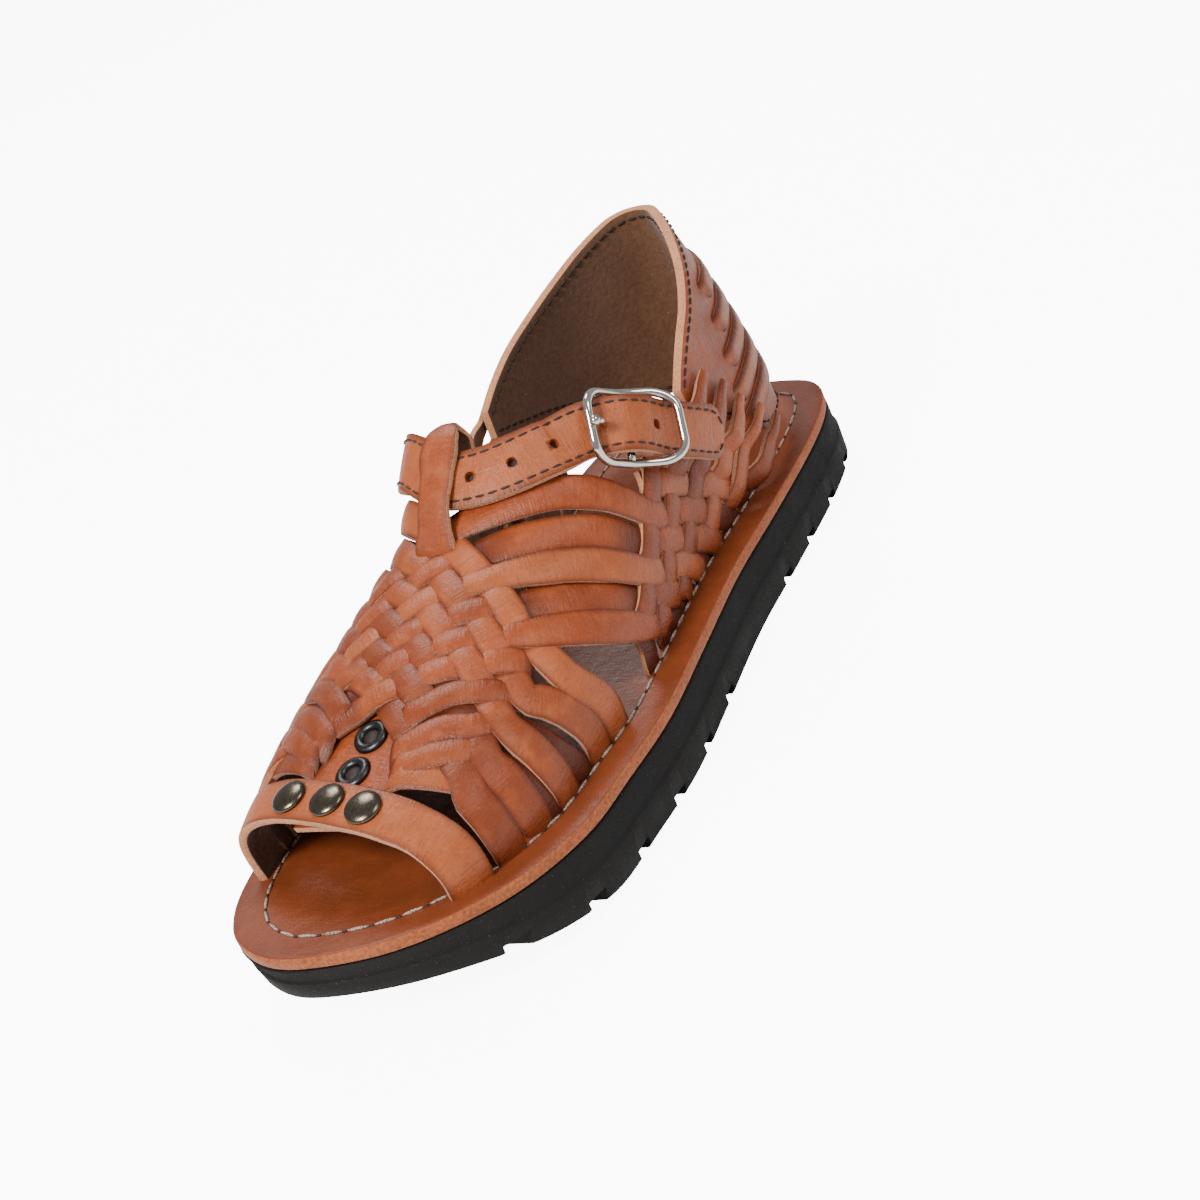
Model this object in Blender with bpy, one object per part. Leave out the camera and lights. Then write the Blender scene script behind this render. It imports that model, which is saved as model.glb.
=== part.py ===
"""Left huarache sandal: rubber sole, leather insole, woven upper, heel counter and ankle strap.

The toe points along -Y, the outer (lateral) side along +X, and the tread stands on Z = 0.
Places on the upper are given on its last: a station is a share of the length from the heel,
and a girth is a share of the way from the ridge (0) down to the insole, +1 lateral, -1 medial.
"""

import math
from functools import lru_cache

import bmesh
import bpy
from mathutils import Matrix, Vector

MM = 0.001

# Driving sizes
LENGTH = 288 * MM
BALL_WIDTH = 104 * MM
INSTEP_HEIGHT = 69 * MM
HEEL_CUP_HEIGHT = 77 * MM
GAP = 0.3 * MM

# Sole
OUTSOLE_THICKNESS = 19.7 * MM
INSOLE_THICKNESS = 4 * MM
TOE_SPRING = 7.7 * MM
SPRING_START = 0.66
SIDE_STEP = 1.0 * MM
HEEL_FLARE = 0.4 * MM
TOE_THINNING = 8.5 * MM
THINNING_START = 0.78
TOE_TUCK = 2.4 * MM
TOE_TUCK_START = 0.86
SOLE_LEAN = 0.8 * MM
STEP_SHARE = 0.56
LUG_ANGLE = 0.12
LUG_PITCH = 0.077
REAR_LUG_START = 0.085
REAR_LUG_COUNT = 4
FRONT_LUG_START = 0.52
FRONT_LUG_COUNT = 6
BACK_LUG_PITCH = 22 * MM
TREAD_CHAMFER = 1.2 * MM
LUG_DEPTH = 3.6 * MM
LUG_GROOVE = 6 * MM
LUG_REACH = 24 * MM
OUTLINE_STEPS = 2

# Insole line of the upper
FEATHER_LATERAL = 12 * MM
FEATHER_MEDIAL = 8.5 * MM
SLOT_DEPTH = 2.6 * MM
SLOT_INNER = 1.4 * MM
SLOT_OUTER = 4.2 * MM
TAIL_DEPTH = 2.4 * MM
TAIL_CUT = 1.7 * MM

# Woven straps
STRAP_THICKNESS = 2.0 * MM
LAYER_RISE = 1.5 * MM
WEAVE_WIDTH = 8.4 * MM
SIDE_WIDTH = 10.4 * MM
QUARTER_WIDTH = 8.6 * MM
LOOP_WIDTH = 8.8 * MM
FRONT_WIDTH = 7.4 * MM

# Toe band and tongue
BAND_WIDTH = 13.2 * MM
BAND_THICKNESS = 2.5 * MM
TONGUE_THICKNESS = 2.0 * MM
TONGUE_FRONT_WIDTH = 30 * MM
RIVET_DIAMETER = 10.4 * MM
RIVET_SHANK = 3.4 * MM
RIVET_DOME = 1.9 * MM
EYELET_DIAMETER = 10.0 * MM
EYELET_BORE = 4.6 * MM
EYELET_LIP = 1.1 * MM

# Heel counter
COUNTER_THICKNESS = 3.0 * MM
BAR_WIDTH = 7.4 * MM
BAR_STEP = 1.1 * MM
BAR_COUNT = 5
BAR_REACH = 0.215

# Ankle strap and buckle
ANKLE_WIDTH = 16.4 * MM
ANKLE_THICKNESS = 3.0 * MM
HOLE_DIAMETER = 3.2 * MM
BUCKLE_LENGTH = 28 * MM
BUCKLE_WIRE = 2.6 * MM
BUCKLE_BAR = 2.4 * MM
PRONG_WIRE = 1.8 * MM
CARRIER_THICKNESS = 1.8 * MM
CARRIER_WIDTH = 13.2 * MM

# Half widths of the sole from its centre line, as shares of the ball width
OUTLINE = [
    # station, lateral, medial
    (0.008, 0.236, 0.152),
    (0.030, 0.346, 0.246),
    (0.080, 0.409, 0.332),
    (0.160, 0.439, 0.380),
    (0.280, 0.449, 0.371),
    (0.400, 0.452, 0.348),
    (0.520, 0.482, 0.368),
    (0.630, 0.508, 0.437),
    (0.720, 0.496, 0.488),
    (0.800, 0.482, 0.503),
    (0.880, 0.404, 0.463),
    (0.940, 0.275, 0.387),
    (0.980, 0.117, 0.276),
]
HEEL_END = -0.014
TOE_END = -0.105

# The last: ridge place as a share of the ball width, height as a share of the instep height,
# and how square each side of the section is
LAST = [
    # station, ridge, height, lateral fullness, medial fullness
    (0.14, -0.038, 1.66, 2.7, 2.8),
    (0.21, -0.038, 1.59, 2.6, 2.8),
    (0.28, -0.038, 1.51, 2.6, 2.8),
    (0.35, -0.048, 1.38, 2.5, 2.8),
    (0.42, -0.058, 1.20, 2.4, 2.8),
    (0.486, -0.058, 1.00, 2.3, 2.8),
    (0.54, -0.058, 0.81, 2.2, 2.8),
    (0.59, -0.058, 0.70, 2.1, 2.8),
    (0.64, -0.053, 0.635, 2.1, 2.8),
    (0.695, -0.048, 0.57, 2.1, 2.8),
    (0.765, -0.043, 0.48, 2.2, 2.8),
    (0.815, -0.048, 0.404, 2.4, 2.8),
    (0.87, -0.067, 0.333, 2.6, 2.8),
    (0.92, -0.087, 0.268, 2.6, 2.8),
]
BULGE_LATERAL = 1.0 * MM
BULGE_MEDIAL = 3.0 * MM

# The six straps of each weave family: where they cross the ridge and where they meet the insole
WEAVE = [
    # ridge station, loop station
    (0.576, 0.665),
    (0.614, 0.700),
    (0.652, 0.765),
    (0.688, 0.811),
    (0.722, 0.845),
    (0.755, None),
]
QUARTER_SLOPE = 0.122
SOLE_SLOPE = 0.188
LOOP_TURN = 0.62
MEDIAL_SHIFT = 0.026
FOLD_GIRTH = 0.54
FRONT_TUCK_GIRTH = 0.21

# Straps out of the tongue's slits: places where they cross the loops, then the insole
FRONT_STRAPS = [
    # start station, start girth, crossings (loop strap, station, girth), insole station
    (0.785, 0.17, ((5, 0.767, 0.25), (4, 0.750, 0.33), (3, 0.737, 0.45), (2, 0.725, 0.59)), None),
    (0.819, 0.20, ((5, 0.788, 0.355), (4, 0.777, 0.475), (3, 0.760, 0.57)), 0.733),
    (0.835, 0.25, ((5, 0.808, 0.455), (4, 0.800, 0.60)), 0.790),
    (0.842, 0.27, ((5, 0.829, 0.60),), 0.826),
]

# Lattice of the quarter weave
QUARTER_STATION = 0.424
QUARTER_GIRTH = 0.66
ROW_STATION = 0.0264
ROW_GIRTH = 0.039
COLUMN_STATION = -0.0347
COLUMN_GIRTH = 0.072
ROW_COUNT = 5
LATTICE_LIMIT = 0.965

# Upright straps of the quarter that end on the heel counter
UPRIGHTS = [
    # column, last row, insole station, slit station, slit girth
    (2, 5, 0.522, 0.280, 0.620),
    (3, 4, 0.465, 0.252, 0.690),
    (4, 2, 0.387, 0.232, 0.760),
]
REAR_TIES = [
    # insole station, middle station, middle girth, middle lift, slit station, slit girth
    (0.310, 0.270, 0.90, 3.6, 0.207, 0.825),
    (0.268, 0.222, 0.94, 6.0, 0.182, 0.890),
]

# Toe band's centre line
BAND = [
    # station, girth
    (0.860, -1.00),
    (0.860, -0.80),
    (0.863, -0.50),
    (0.867, -0.27),
    (0.873, 0.00),
    (0.881, 0.30),
    (0.886, 0.58),
    (0.888, 0.80),
    (0.888, 1.00),
]
RIVETS = ((0.867, -0.26), (0.873, 0.02), (0.880, 0.27))
EYELETS = (0.834, 0.795)

# Tongue: station, width as a share of its front width, height over the last
TONGUE = [
    (0.893, 0.62, -2.4),
    (0.870, 0.86, -2.4),
    (0.845, 1.00, -2.4),
    (0.815, 0.92, -2.4),
    (0.780, 0.70, -2.4),
    (0.740, 0.50, -2.4),
    (0.700, 0.46, -2.4),
    (0.640, 0.46, -2.4),
    (0.612, 0.46, -2.4),
    (0.590, 0.46, 2.2),
    (0.570, 0.46, 5.6),
    (0.550, 0.46, 8.1),
    (0.528, 0.46, 8.1),
    (0.508, 0.45, 8.0),
    (0.494, 0.42, 7.0),
]
TAB_TIP = (0.485, 0.28, 4.4)
TAB_INNER = [
    (0.493, 0.40, 1.9),
    (0.506, 0.42, 1.4),
    (0.528, 0.42, 1.4),
    (0.540, 0.42, 1.4),
]
TONGUE_ROOM = 0.3 * MM
ROOM_START = 8

# Heel cup from the middle of the back to the front end. Stations and half widths at the foot
# and at the top of the cup, and the edges as shares of the cup height
CUP = [
    # low station, low half width, high station, high half width, tops and feet of both sides
    (0.045, 0.000, 0.060, 0.000, 1.00, 0.11, 0.11, 1.00),
    (0.052, 0.090, 0.066, 0.046, 1.00, 0.11, 0.11, 1.00),
    (0.067, 0.163, 0.083, 0.088, 1.00, 0.11, 0.13, 0.987),
    (0.094, 0.250, 0.115, 0.150, 0.985, 0.11, 0.18, 0.935),
    (0.135, 0.322, 0.149, 0.202, 0.95, 0.11, 0.26, 0.867),
    (0.184, 0.350, 0.190, 0.252, 0.89, 0.13, 0.34, 0.80),
    (0.229, 0.360, 0.232, 0.286, 0.82, 0.26, 0.40, 0.745),
    (0.268, 0.364, 0.268, 0.308, 0.77, 0.37, 0.45, 0.68),
    (0.300, 0.364, 0.296, 0.320, 0.71, 0.46, 0.49, 0.62),
    (0.325, 0.362, 0.325, 0.328, 0.635, 0.54, 0.54, 0.60),
]
LATERAL_COLUMNS = 9
MEDIAL_COLUMNS = 8
CUP_LEAN_POWER = 1.8
BAR_REAR = 0.7
BAR_FRONT = 4.1
BAR_FRONT_STEP = 0.33
BAR_TOP_REAR = 0.75
BAR_TOP_FRONT = 0.755
BAR_PITCH_REAR = 0.098
BAR_PITCH_FRONT = 0.128

# Ankle strap's line over the last, from its medial end to its tip
ANKLE_LINE = [
    # station, girth, height of its inner face, None where the buckle sets it
    (0.340, -0.735, -3.7),
    (0.370, -0.690, -3.7),
    (0.400, -0.610, -3.5),
    (0.430, -0.500, -2.0),
    (0.452, -0.400, 1.6),
    (0.474, -0.310, 4.1),
    (0.503, -0.150, 4.5),
    (0.526, 0.000, 4.5),
    (0.524, 0.120, 4.5),
    (0.512, 0.210, 4.3),
    (0.490, 0.300, 3.9),
    (0.455, 0.386, None),
    (0.420, 0.490, None),
    (0.383, 0.593, None),
    (0.345, 0.680, None),
    (0.305, 0.758, None),
]
BUCKLE_ROW = 12
LINE_STEPS = 8
STRAP_HOLES = (4.5, -21, -32.5, -43.5)

# Ankle strap through the buckle: distance along it and height of its inner face, in millimetres
ANKLE_BUCKLE = [
    (-21, 2.6),
    (-14, 2.7),
    (-9, 4.6),
    (-4, 8.2),
    (0, 9.1),
    (4, 8.9),
    (9, 8.0),
    (14, 8.3),
    (18, 9.0),
    (25, 9.3),
    (31, 9.2),
]
ANKLE_TIP = 36.5

# Carrier folded round the centre bar: distance and height of its middle
CARRIER = [
    (18, 5.6),
    (14, 4.9),
    (10, 3.7),
    (5, 2.9),
    (1.5, 2.9),
    (-0.4, 3.0),
    (-1.8, 3.8),
    (-2.4, 5.4),
    (-1.8, 7.0),
    (-0.4, 7.8),
    (2, 7.5),
    (6, 6.6),
    (10, 6.2),
    (14, 7.1),
    (18, 7.7),
]
BAR_HEIGHT = 5.4
BOW_FRONT = 9.9
BOW_REAR = 14.6

# Prong: distance along the strap and height, in millimetres
PRONG = [
    (-4.3, 5.5),
    (-6.0, 5.6),
    (-7.6, 7.1),
    (-9.4, 9.7),
    (-11.0, 11.9),
    (-12.9, 12.5),
]
PRONG_BALL = 3.2

def smooth_step(share):
    """Ease from 0 to 1."""
    return share * share * (3 - 2 * share)


def table_value(table, column, x):
    """Read a table's column at x with a smooth curve through its rows."""
    xs = [row[0] for row in table]
    ys = [row[column] for row in table]
    if x <= xs[0]:
        return ys[0] + (ys[1] - ys[0]) * (x - xs[0]) / (xs[1] - xs[0])
    if x >= xs[-1]:
        return ys[-1] + (ys[-1] - ys[-2]) * (x - xs[-1]) / (xs[-1] - xs[-2])
    i = max(n for n in range(len(xs) - 1) if xs[n] <= x)
    slopes = []
    for n in (i, i + 1):
        low = max(n - 1, 0)
        high = min(n + 1, len(xs) - 1)
        slopes.append((ys[high] - ys[low]) / (xs[high] - xs[low]))
    span = xs[i + 1] - xs[i]
    t = (x - xs[i]) / span
    rise = ys[i] * (1 + 2 * t) * (1 - t) ** 2 + ys[i + 1] * t * t * (3 - 2 * t)
    return rise + span * (slopes[0] * t * (1 - t) ** 2 - slopes[1] * t * t * (1 - t))


def curve_point(points, i, t, closed=False):
    """Point between points i and i + 1 of a smooth curve through all of them."""
    count = len(points)
    if closed:
        a, b, c, d = (points[(i + k) % count] for k in (-1, 0, 1, 2))
    else:
        b = points[i]
        c = points[i + 1]
        a = points[i - 1] if i > 0 else b * 2 - c
        d = points[i + 2] if i + 2 < count else c * 2 - b
    pull = (c - a) * 0.5
    push = (d - b) * 0.5
    return (
        b * (2 * t ** 3 - 3 * t * t + 1)
        + c * (3 * t * t - 2 * t ** 3)
        + pull * (t ** 3 - 2 * t * t + t)
        + push * (t ** 3 - t * t)
    )


def spring(station):
    """Height that the toe end of the sole lifts off the floor."""
    share = max(0.0, (station - SPRING_START) / (1 - SPRING_START))
    return TOE_SPRING * share ** 2


def station_of(y):
    """Share of the length at a Y place."""
    return 0.5 - y / LENGTH


def y_of(station):
    """Y place of a share of the length."""
    return (0.5 - station) * LENGTH


@lru_cache(maxsize=None)
def sole_outline():
    """Plan of the sole, from the heel end along the lateral side to the toe and back."""
    points = [Vector((HEEL_END * BALL_WIDTH, y_of(0)))]
    points += [Vector((row[1] * BALL_WIDTH, y_of(row[0]))) for row in OUTLINE]
    points.append(Vector((TOE_END * BALL_WIDTH, y_of(1))))
    points += [Vector((-row[2] * BALL_WIDTH, y_of(row[0]))) for row in reversed(OUTLINE)]
    ring = []
    for i in range(len(points)):
        for k in range(OUTLINE_STEPS):
            ring.append(curve_point(points, i, k / OUTLINE_STEPS, closed=True))
    return tuple(point.freeze() for point in ring)


def outline_x(station, side):
    """X of the sole's edge at a station, on the lateral (+1) or medial (-1) side."""
    ring = sole_outline()
    half = len(ring) // 2
    chain = ring[: half + 1] if side > 0 else ring[half:] + ring[:1]
    y = y_of(station)
    for a, b in zip(chain, chain[1:]):
        if (a.y - y) * (b.y - y) <= 0 and a.y != b.y:
            return a.x + (b.x - a.x) * (y - a.y) / (b.y - a.y)
    return HEEL_END * BALL_WIDTH


def insole_top(station):
    """Z of the insole's upper face."""
    return OUTSOLE_THICKNESS + GAP + INSOLE_THICKNESS + spring(station)


@lru_cache(maxsize=None)
def half_section(key, side, steps=22):
    """Section of the last from the ridge down to the insole, with running lengths."""
    station = key / 4000
    ridge = table_value(LAST, 1, station) * BALL_WIDTH
    height = table_value(LAST, 2, station) * INSTEP_HEIGHT
    power = table_value(LAST, 3 if side > 0 else 4, station)
    inset = FEATHER_LATERAL if side > 0 else FEATHER_MEDIAL
    bulge = BULGE_LATERAL if side > 0 else -BULGE_MEDIAL
    feather = outline_x(station, side) - side * inset
    points = []
    for n in range(steps + 1):
        angle = math.pi / 2 * (1 - n / steps)
        x = ridge + (feather - ridge) * math.cos(angle) ** (2 / power) + bulge * math.sin(2 * angle)
        z = height * math.sin(angle) ** (2 / power)
        points.append((x, z))
    lengths = [0.0]
    for a, b in zip(points, points[1:]):
        lengths.append(lengths[-1] + math.hypot(b[0] - a[0], b[1] - a[1]))
    return points, lengths


def last_point(station, girth):
    """Point on the last's surface."""
    side = 1 if girth >= 0 else -1
    points, lengths = half_section(round(station * 4000), side)
    distance = abs(girth) * lengths[-1]
    base = insole_top(station)
    if distance >= lengths[-1]:
        x, z = points[-1]
        return Vector((x, y_of(station), base - (distance - lengths[-1])))
    i = max(n for n in range(len(lengths) - 1) if lengths[n] <= distance)
    t = (distance - lengths[i]) / (lengths[i + 1] - lengths[i])
    x = points[i][0] + (points[i + 1][0] - points[i][0]) * t
    z = points[i][1] + (points[i + 1][1] - points[i][1]) * t
    return Vector((x, y_of(station), base + z))


def last_normal(station, girth):
    """Outward direction of the last's surface."""
    around = last_point(station, girth + 0.012) - last_point(station, girth - 0.012)
    along = last_point(station + 0.004, girth) - last_point(station - 0.004, girth)
    return along.cross(around).normalized()


def girth_length(station, side):
    """Length round the last from the ridge to the insole."""
    return half_section(round(station * 4000), side)[1][-1]


def collection(name):
    """A new collection linked to the scene."""
    made = bpy.data.collections.new(name)
    bpy.context.scene.collection.children.link(made)
    return made


def clear_scene():
    """Remove what the scene holds."""
    for thing in list(bpy.data.objects):
        bpy.data.objects.remove(thing, do_unlink=True)
    for group in list(bpy.data.collections):
        bpy.data.collections.remove(group)


def material(name, colour, roughness, metallic=0.0):
    """A plain finish."""
    made = bpy.data.materials.new(name)
    made.use_nodes = True
    shader = made.node_tree.nodes["Principled BSDF"]
    shader.inputs["Base Color"].default_value = (*colour, 1)
    shader.inputs["Roughness"].default_value = roughness
    shader.inputs["Metallic"].default_value = metallic
    return made


def add_object(name, mesh, home, finish=None):
    """Put a mesh in a collection as an object."""
    thing = bpy.data.objects.new(name, mesh)
    home.objects.link(thing)
    if finish:
        mesh.materials.append(finish)
    return thing


def rings_mesh(name, rings):
    """Closed solid through rings of equal count, with a face at each end."""
    shape = bmesh.new()
    made = [[shape.verts.new(point) for point in ring] for ring in rings]
    count = len(rings[0])
    for low, high in zip(made, made[1:]):
        for i in range(count):
            j = (i + 1) % count
            shape.faces.new((low[i], low[j], high[j], high[i]))
    shape.faces.new(list(reversed(made[0])))
    shape.faces.new(made[-1])
    bmesh.ops.recalc_face_normals(shape, faces=shape.faces)
    bmesh.ops.triangulate(shape, faces=shape.faces)
    mesh = bpy.data.meshes.new(name)
    shape.to_mesh(mesh)
    shape.free()
    return mesh


def slab_mesh(name, rings):
    """Closed solid through plan outlines, capped by quads from side to side."""
    shape = bmesh.new()
    made = [[shape.verts.new(point) for point in ring] for ring in rings]
    count = len(rings[0])
    for low, high in zip(made, made[1:]):
        for i in range(count):
            j = (i + 1) % count
            shape.faces.new((low[i], low[j], high[j], high[i]))
    for ring in (made[0], made[-1]):
        for i in range(count // 2):
            corners = [ring[i], ring[i + 1], ring[count - i - 1], ring[(count - i) % count]]
            unique = [c for n, c in enumerate(corners) if c not in corners[:n]]
            shape.faces.new(unique)
    bmesh.ops.recalc_face_normals(shape, faces=shape.faces)
    mesh = bpy.data.meshes.new(name)
    shape.to_mesh(mesh)
    shape.free()
    return mesh


def boolean(target, other, operation):
    """Cut or join a target with an object or a collection."""
    cut = target.modifiers.new(operation.title(), "BOOLEAN")
    cut.operation = operation
    cut.solver = "EXACT"
    if isinstance(other, bpy.types.Collection):
        cut.operand_type = "COLLECTION"
        cut.collection = other
    else:
        cut.object = other
    return cut


def as_tool(thing):
    """Mark an object as a cutter or a joined blank."""
    thing.hide_render = True
    thing.display_type = "WIRE"
    return thing


def outward_sign():
    """+1 where the plan runs so that its right-hand side is outside."""
    ring = sole_outline()
    area = sum(a.x * b.y - b.x * a.y for a, b in zip(ring, ring[1:] + ring[:1]))
    return 1 if area > 0 else -1


def outline_ring(distance, height):
    """Ring of the sole's side at a height that follows the toe spring."""
    ring = sole_outline()
    count = len(ring)
    sign = outward_sign()
    points = []
    for i, point in enumerate(ring):
        along = (ring[(i + 1) % count] - ring[i - 1]).normalized()
        out = Vector((along.y, -along.x)) * sign
        station = station_of(point.y)
        place = point + out * distance(station)
        points.append(Vector((place.x, place.y, height + spring(station) + thinning(station, height))))
    return points


def thinning(station, height):
    """Extra lift of the rubber toward the toe, most at its tread and none at its top."""
    share = smooth_step(max(0.0, min(1.0, (station - THINNING_START) / (1 - THINNING_START))))
    return TOE_THINNING * share * max(0.0, 1 - height / OUTSOLE_THICKNESS)


def flare(station):
    """Outward lean of the rubber's foot, more at the heel, inward at the toe."""
    heel = HEEL_FLARE * max(0.0, 1 - station / 0.25)
    share = max(0.0, min(1.0, (station - TOE_TUCK_START) / (1 - TOE_TUCK_START)))
    return SOLE_LEAN + heel - TOE_TUCK * smooth_step(share)


def make_outsole(home, tools, finish):
    """Rubber slab with a stepped side, a chamfered foot and lugs cut into its edge."""
    step_height = OUTSOLE_THICKNESS * STEP_SHARE
    rings = [
        outline_ring(lambda s: flare(s) - TREAD_CHAMFER, 0),
        outline_ring(flare, TREAD_CHAMFER),
        outline_ring(lambda s: flare(s) * 0.7 + SIDE_STEP * 0.4, step_height - SIDE_STEP * 0.5),
        outline_ring(lambda s: flare(s) * 0.7 - SIDE_STEP * 0.4, step_height + SIDE_STEP * 0.5),
        outline_ring(lambda s: 0.0, OUTSOLE_THICKNESS),
    ]
    outsole = add_object("outsole", slab_mesh("outsole", rings), home, finish)
    grooves = lug_grooves(tools)
    boolean(outsole, grooves, "DIFFERENCE")
    return outsole


def groove_box(name, centre, size, turn, home):
    """A box that cuts a lug groove."""
    bpy.ops.mesh.primitive_cube_add(size=1)
    box = bpy.context.object
    for group in list(box.users_collection):
        group.objects.unlink(box)
    home.objects.link(box)
    box.name = name
    box.data.transform(Matrix.Diagonal((*size, 1)))
    box.data.transform(Matrix.Rotation(turn, 4, "Z"))
    box.data.transform(Matrix.Translation(centre))
    return as_tool(box)


def lug_grooves(tools):
    """Cutters for the grooves between the lugs, in from both sides and at the heel's back."""
    group = bpy.data.collections.new("grooves")
    tools.children.link(group)
    stations = [REAR_LUG_START + LUG_PITCH * n for n in range(REAR_LUG_COUNT)]
    stations += [FRONT_LUG_START + LUG_PITCH * n for n in range(FRONT_LUG_COUNT)]
    for n, station in enumerate(stations):
        for side in (1, -1):
            edge = outline_x(station, side)
            tread = spring(station) + thinning(station, 0.0)
            centre = Vector((edge - side * LUG_REACH * 0.32, y_of(station), tread))
            size = (LUG_REACH, LUG_GROOVE, LUG_DEPTH * 2)
            groove_box(f"groove_{n}_{'lateral' if side > 0 else 'medial'}", centre, size, side * LUG_ANGLE, group)
    for n in (-1, 0, 1):
        centre = Vector((HEEL_END * BALL_WIDTH + n * BACK_LUG_PITCH, y_of(0) - LUG_REACH * 0.12, 0))
        groove_box(f"groove_back_{n + 1}", centre, (LUG_GROOVE, LUG_REACH * 0.7, LUG_DEPTH * 2), 0, group)
    return group


def make_insole(home, tools, finish):
    """Leather footbed with the four slots that the straps go down through."""
    base = OUTSOLE_THICKNESS + GAP
    inset = 0.4 * MM
    rings = [
        outline_ring(lambda s: -inset, base),
        outline_ring(lambda s: 0.0, base + inset),
        outline_ring(lambda s: 0.0, base + INSOLE_THICKNESS - inset),
        outline_ring(lambda s: -inset, base + INSOLE_THICKNESS),
    ]
    insole = add_object("insole", slab_mesh("insole", rings), home, finish)
    group = bpy.data.collections.new("slots")
    tools.children.link(group)
    slots = [(0.64, 0.915), (0.245, 0.59)]
    for n, (rear, front) in enumerate(slots):
        for side in (1, -1):
            slot_cutter(f"slot_{n}_{'lateral' if side > 0 else 'medial'}", rear, front, side, group)
    boolean(insole, group, "DIFFERENCE")
    return insole


def slot_cutter(name, rear, front, side, home):
    """A bent bar along the line where the straps meet the insole."""
    sections = []
    steps = 8
    for n in range(steps + 1):
        station = rear + (front - rear) * n / steps
        top = last_point(station, side * 1.0)
        out = last_normal(station, side * 1.0)
        out.z = 0
        out.normalize()
        inner = top - out * SLOT_INNER
        outer = top + out * SLOT_OUTER
        low = Vector((0, 0, -SLOT_DEPTH))
        high = Vector((0, 0, 2 * MM))
        sections.append([inner + low, outer + low, outer + high, inner + high])
    return as_tool(add_object(name, rings_mesh(name, sections), home))


def knot(station, girth, layer, width):
    """One place on a strap's centre line, as a vector that can be blended."""
    return Vector((station, girth, layer, width))


def on_side(knots, side):
    """Knots for one side; the medial front straps stand a little further back, behind the band."""
    placed = []
    for place in knots:
        girth = place.y * side
        share = max(0.0, min(1.0, (place.x - 0.72) / 0.12)) * max(0.0, min(1.0, -girth / 0.4))
        placed.append(Vector((place.x - MEDIAL_SHIFT * share, girth, place.z, place.w)))
    return placed


def strap_stations(knots):
    """Two sections where a strap is on top, so that it lies flat there, and one elsewhere."""
    chain = [knots[0]]
    for i in range(1, len(knots) - 1):
        if knots[i].z < LAYER_RISE * 0.6:
            chain.append(knots[i])
            continue
        for start, share in ((i - 1, 0.7), (i, 0.3)):
            place = curve_point(knots, start, share)
            chain.append(Vector((place.x, place.y, knots[i].z, knots[i].w)))
    chain.append(knots[-1])
    return chain


def strap_on_last(name, chain, thickness, home):
    """Flat strap along a chain of places on the last."""
    centres = []
    normals = []
    for place in chain:
        normal = last_normal(place.x, place.y)
        centres.append(last_point(place.x, place.y) + normal * place.z)
        normals.append(normal)
    return ribbon(name, centres, normals, [place.w for place in chain], thickness, home)


def ribbon(name, centres, normals, widths, thickness, home, finish=None):
    """Solid strip whose inner face follows the centres."""
    sections = []
    for i, centre in enumerate(centres):
        ahead = centres[min(i + 1, len(centres) - 1)]
        behind = centres[max(i - 1, 0)]
        along = (ahead - behind).normalized()
        across = along.cross(normals[i]).normalized()
        up = across.cross(along).normalized()
        half = across * widths[i] / 2
        rise = up * thickness
        sections.append([centre - half, centre + half, centre + half + rise, centre - half + rise])
    return add_object(name, rings_mesh(name, sections), home, finish)


def crossing_girth(own, other):
    """Girth at which two straps of the instep weave cross, + toward the own quarter."""
    return (WEAVE[own][0] - WEAVE[other][0]) / (QUARTER_SLOPE + SOLE_SLOPE)


def weave_place(own, girth):
    """Station of an instep strap at a girth."""
    slope = QUARTER_SLOPE if girth > 0 else SOLE_SLOPE
    return WEAVE[own][0] - slope * girth


def lattice(row, column):
    """Place of a crossing in the quarter weave."""
    station = QUARTER_STATION + ROW_STATION * row + COLUMN_STATION * (column - 1)
    girth = QUARTER_GIRTH + ROW_GIRTH * row + COLUMN_GIRTH * (column - 1)
    return station, girth


def tail(station, side_girth, layer, width):
    """Last stretch of a strap, down through the insole's slot."""
    depth = TAIL_DEPTH / girth_length(station, 1 if side_girth > 0 else -1)
    sign = 1 if side_girth > 0 else -1
    return [
        knot(station, sign * 0.97, layer, width),
        knot(station, sign * (1 + depth), layer, width),
    ]


def loop_knots(own):
    """Knots of an instep strap from the insole up to the weave, at negative girth."""
    loop = WEAVE[own][1]
    if loop is None:
        tuck = [-FRONT_TUCK_GIRTH, -FRONT_TUCK_GIRTH / 2]
        return [knot(weave_place(own, girth), girth, 0.6 * MM, WEAVE_WIDTH) for girth in tuck]
    knots = list(reversed(tail(loop, -1, 0.35 * MM, LOOP_WIDTH)))
    knots.append(knot(loop + 0.002, -0.84, LAYER_RISE * 0.75, LOOP_WIDTH))
    turn = -LOOP_TURN - 0.06
    knots.append(knot((loop + weave_place(own, -LOOP_TURN)) / 2, turn, LAYER_RISE, LOOP_WIDTH))
    for m, strap in reversed(list(enumerate(FRONT_STRAPS, start=1))):
        for crossed, station, girth in strap[2]:
            if crossed == own + 1:
                layer = LAYER_RISE if m == own else 0.0
                knots.append(knot(station, -girth, layer, WEAVE_WIDTH))
    return knots


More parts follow.
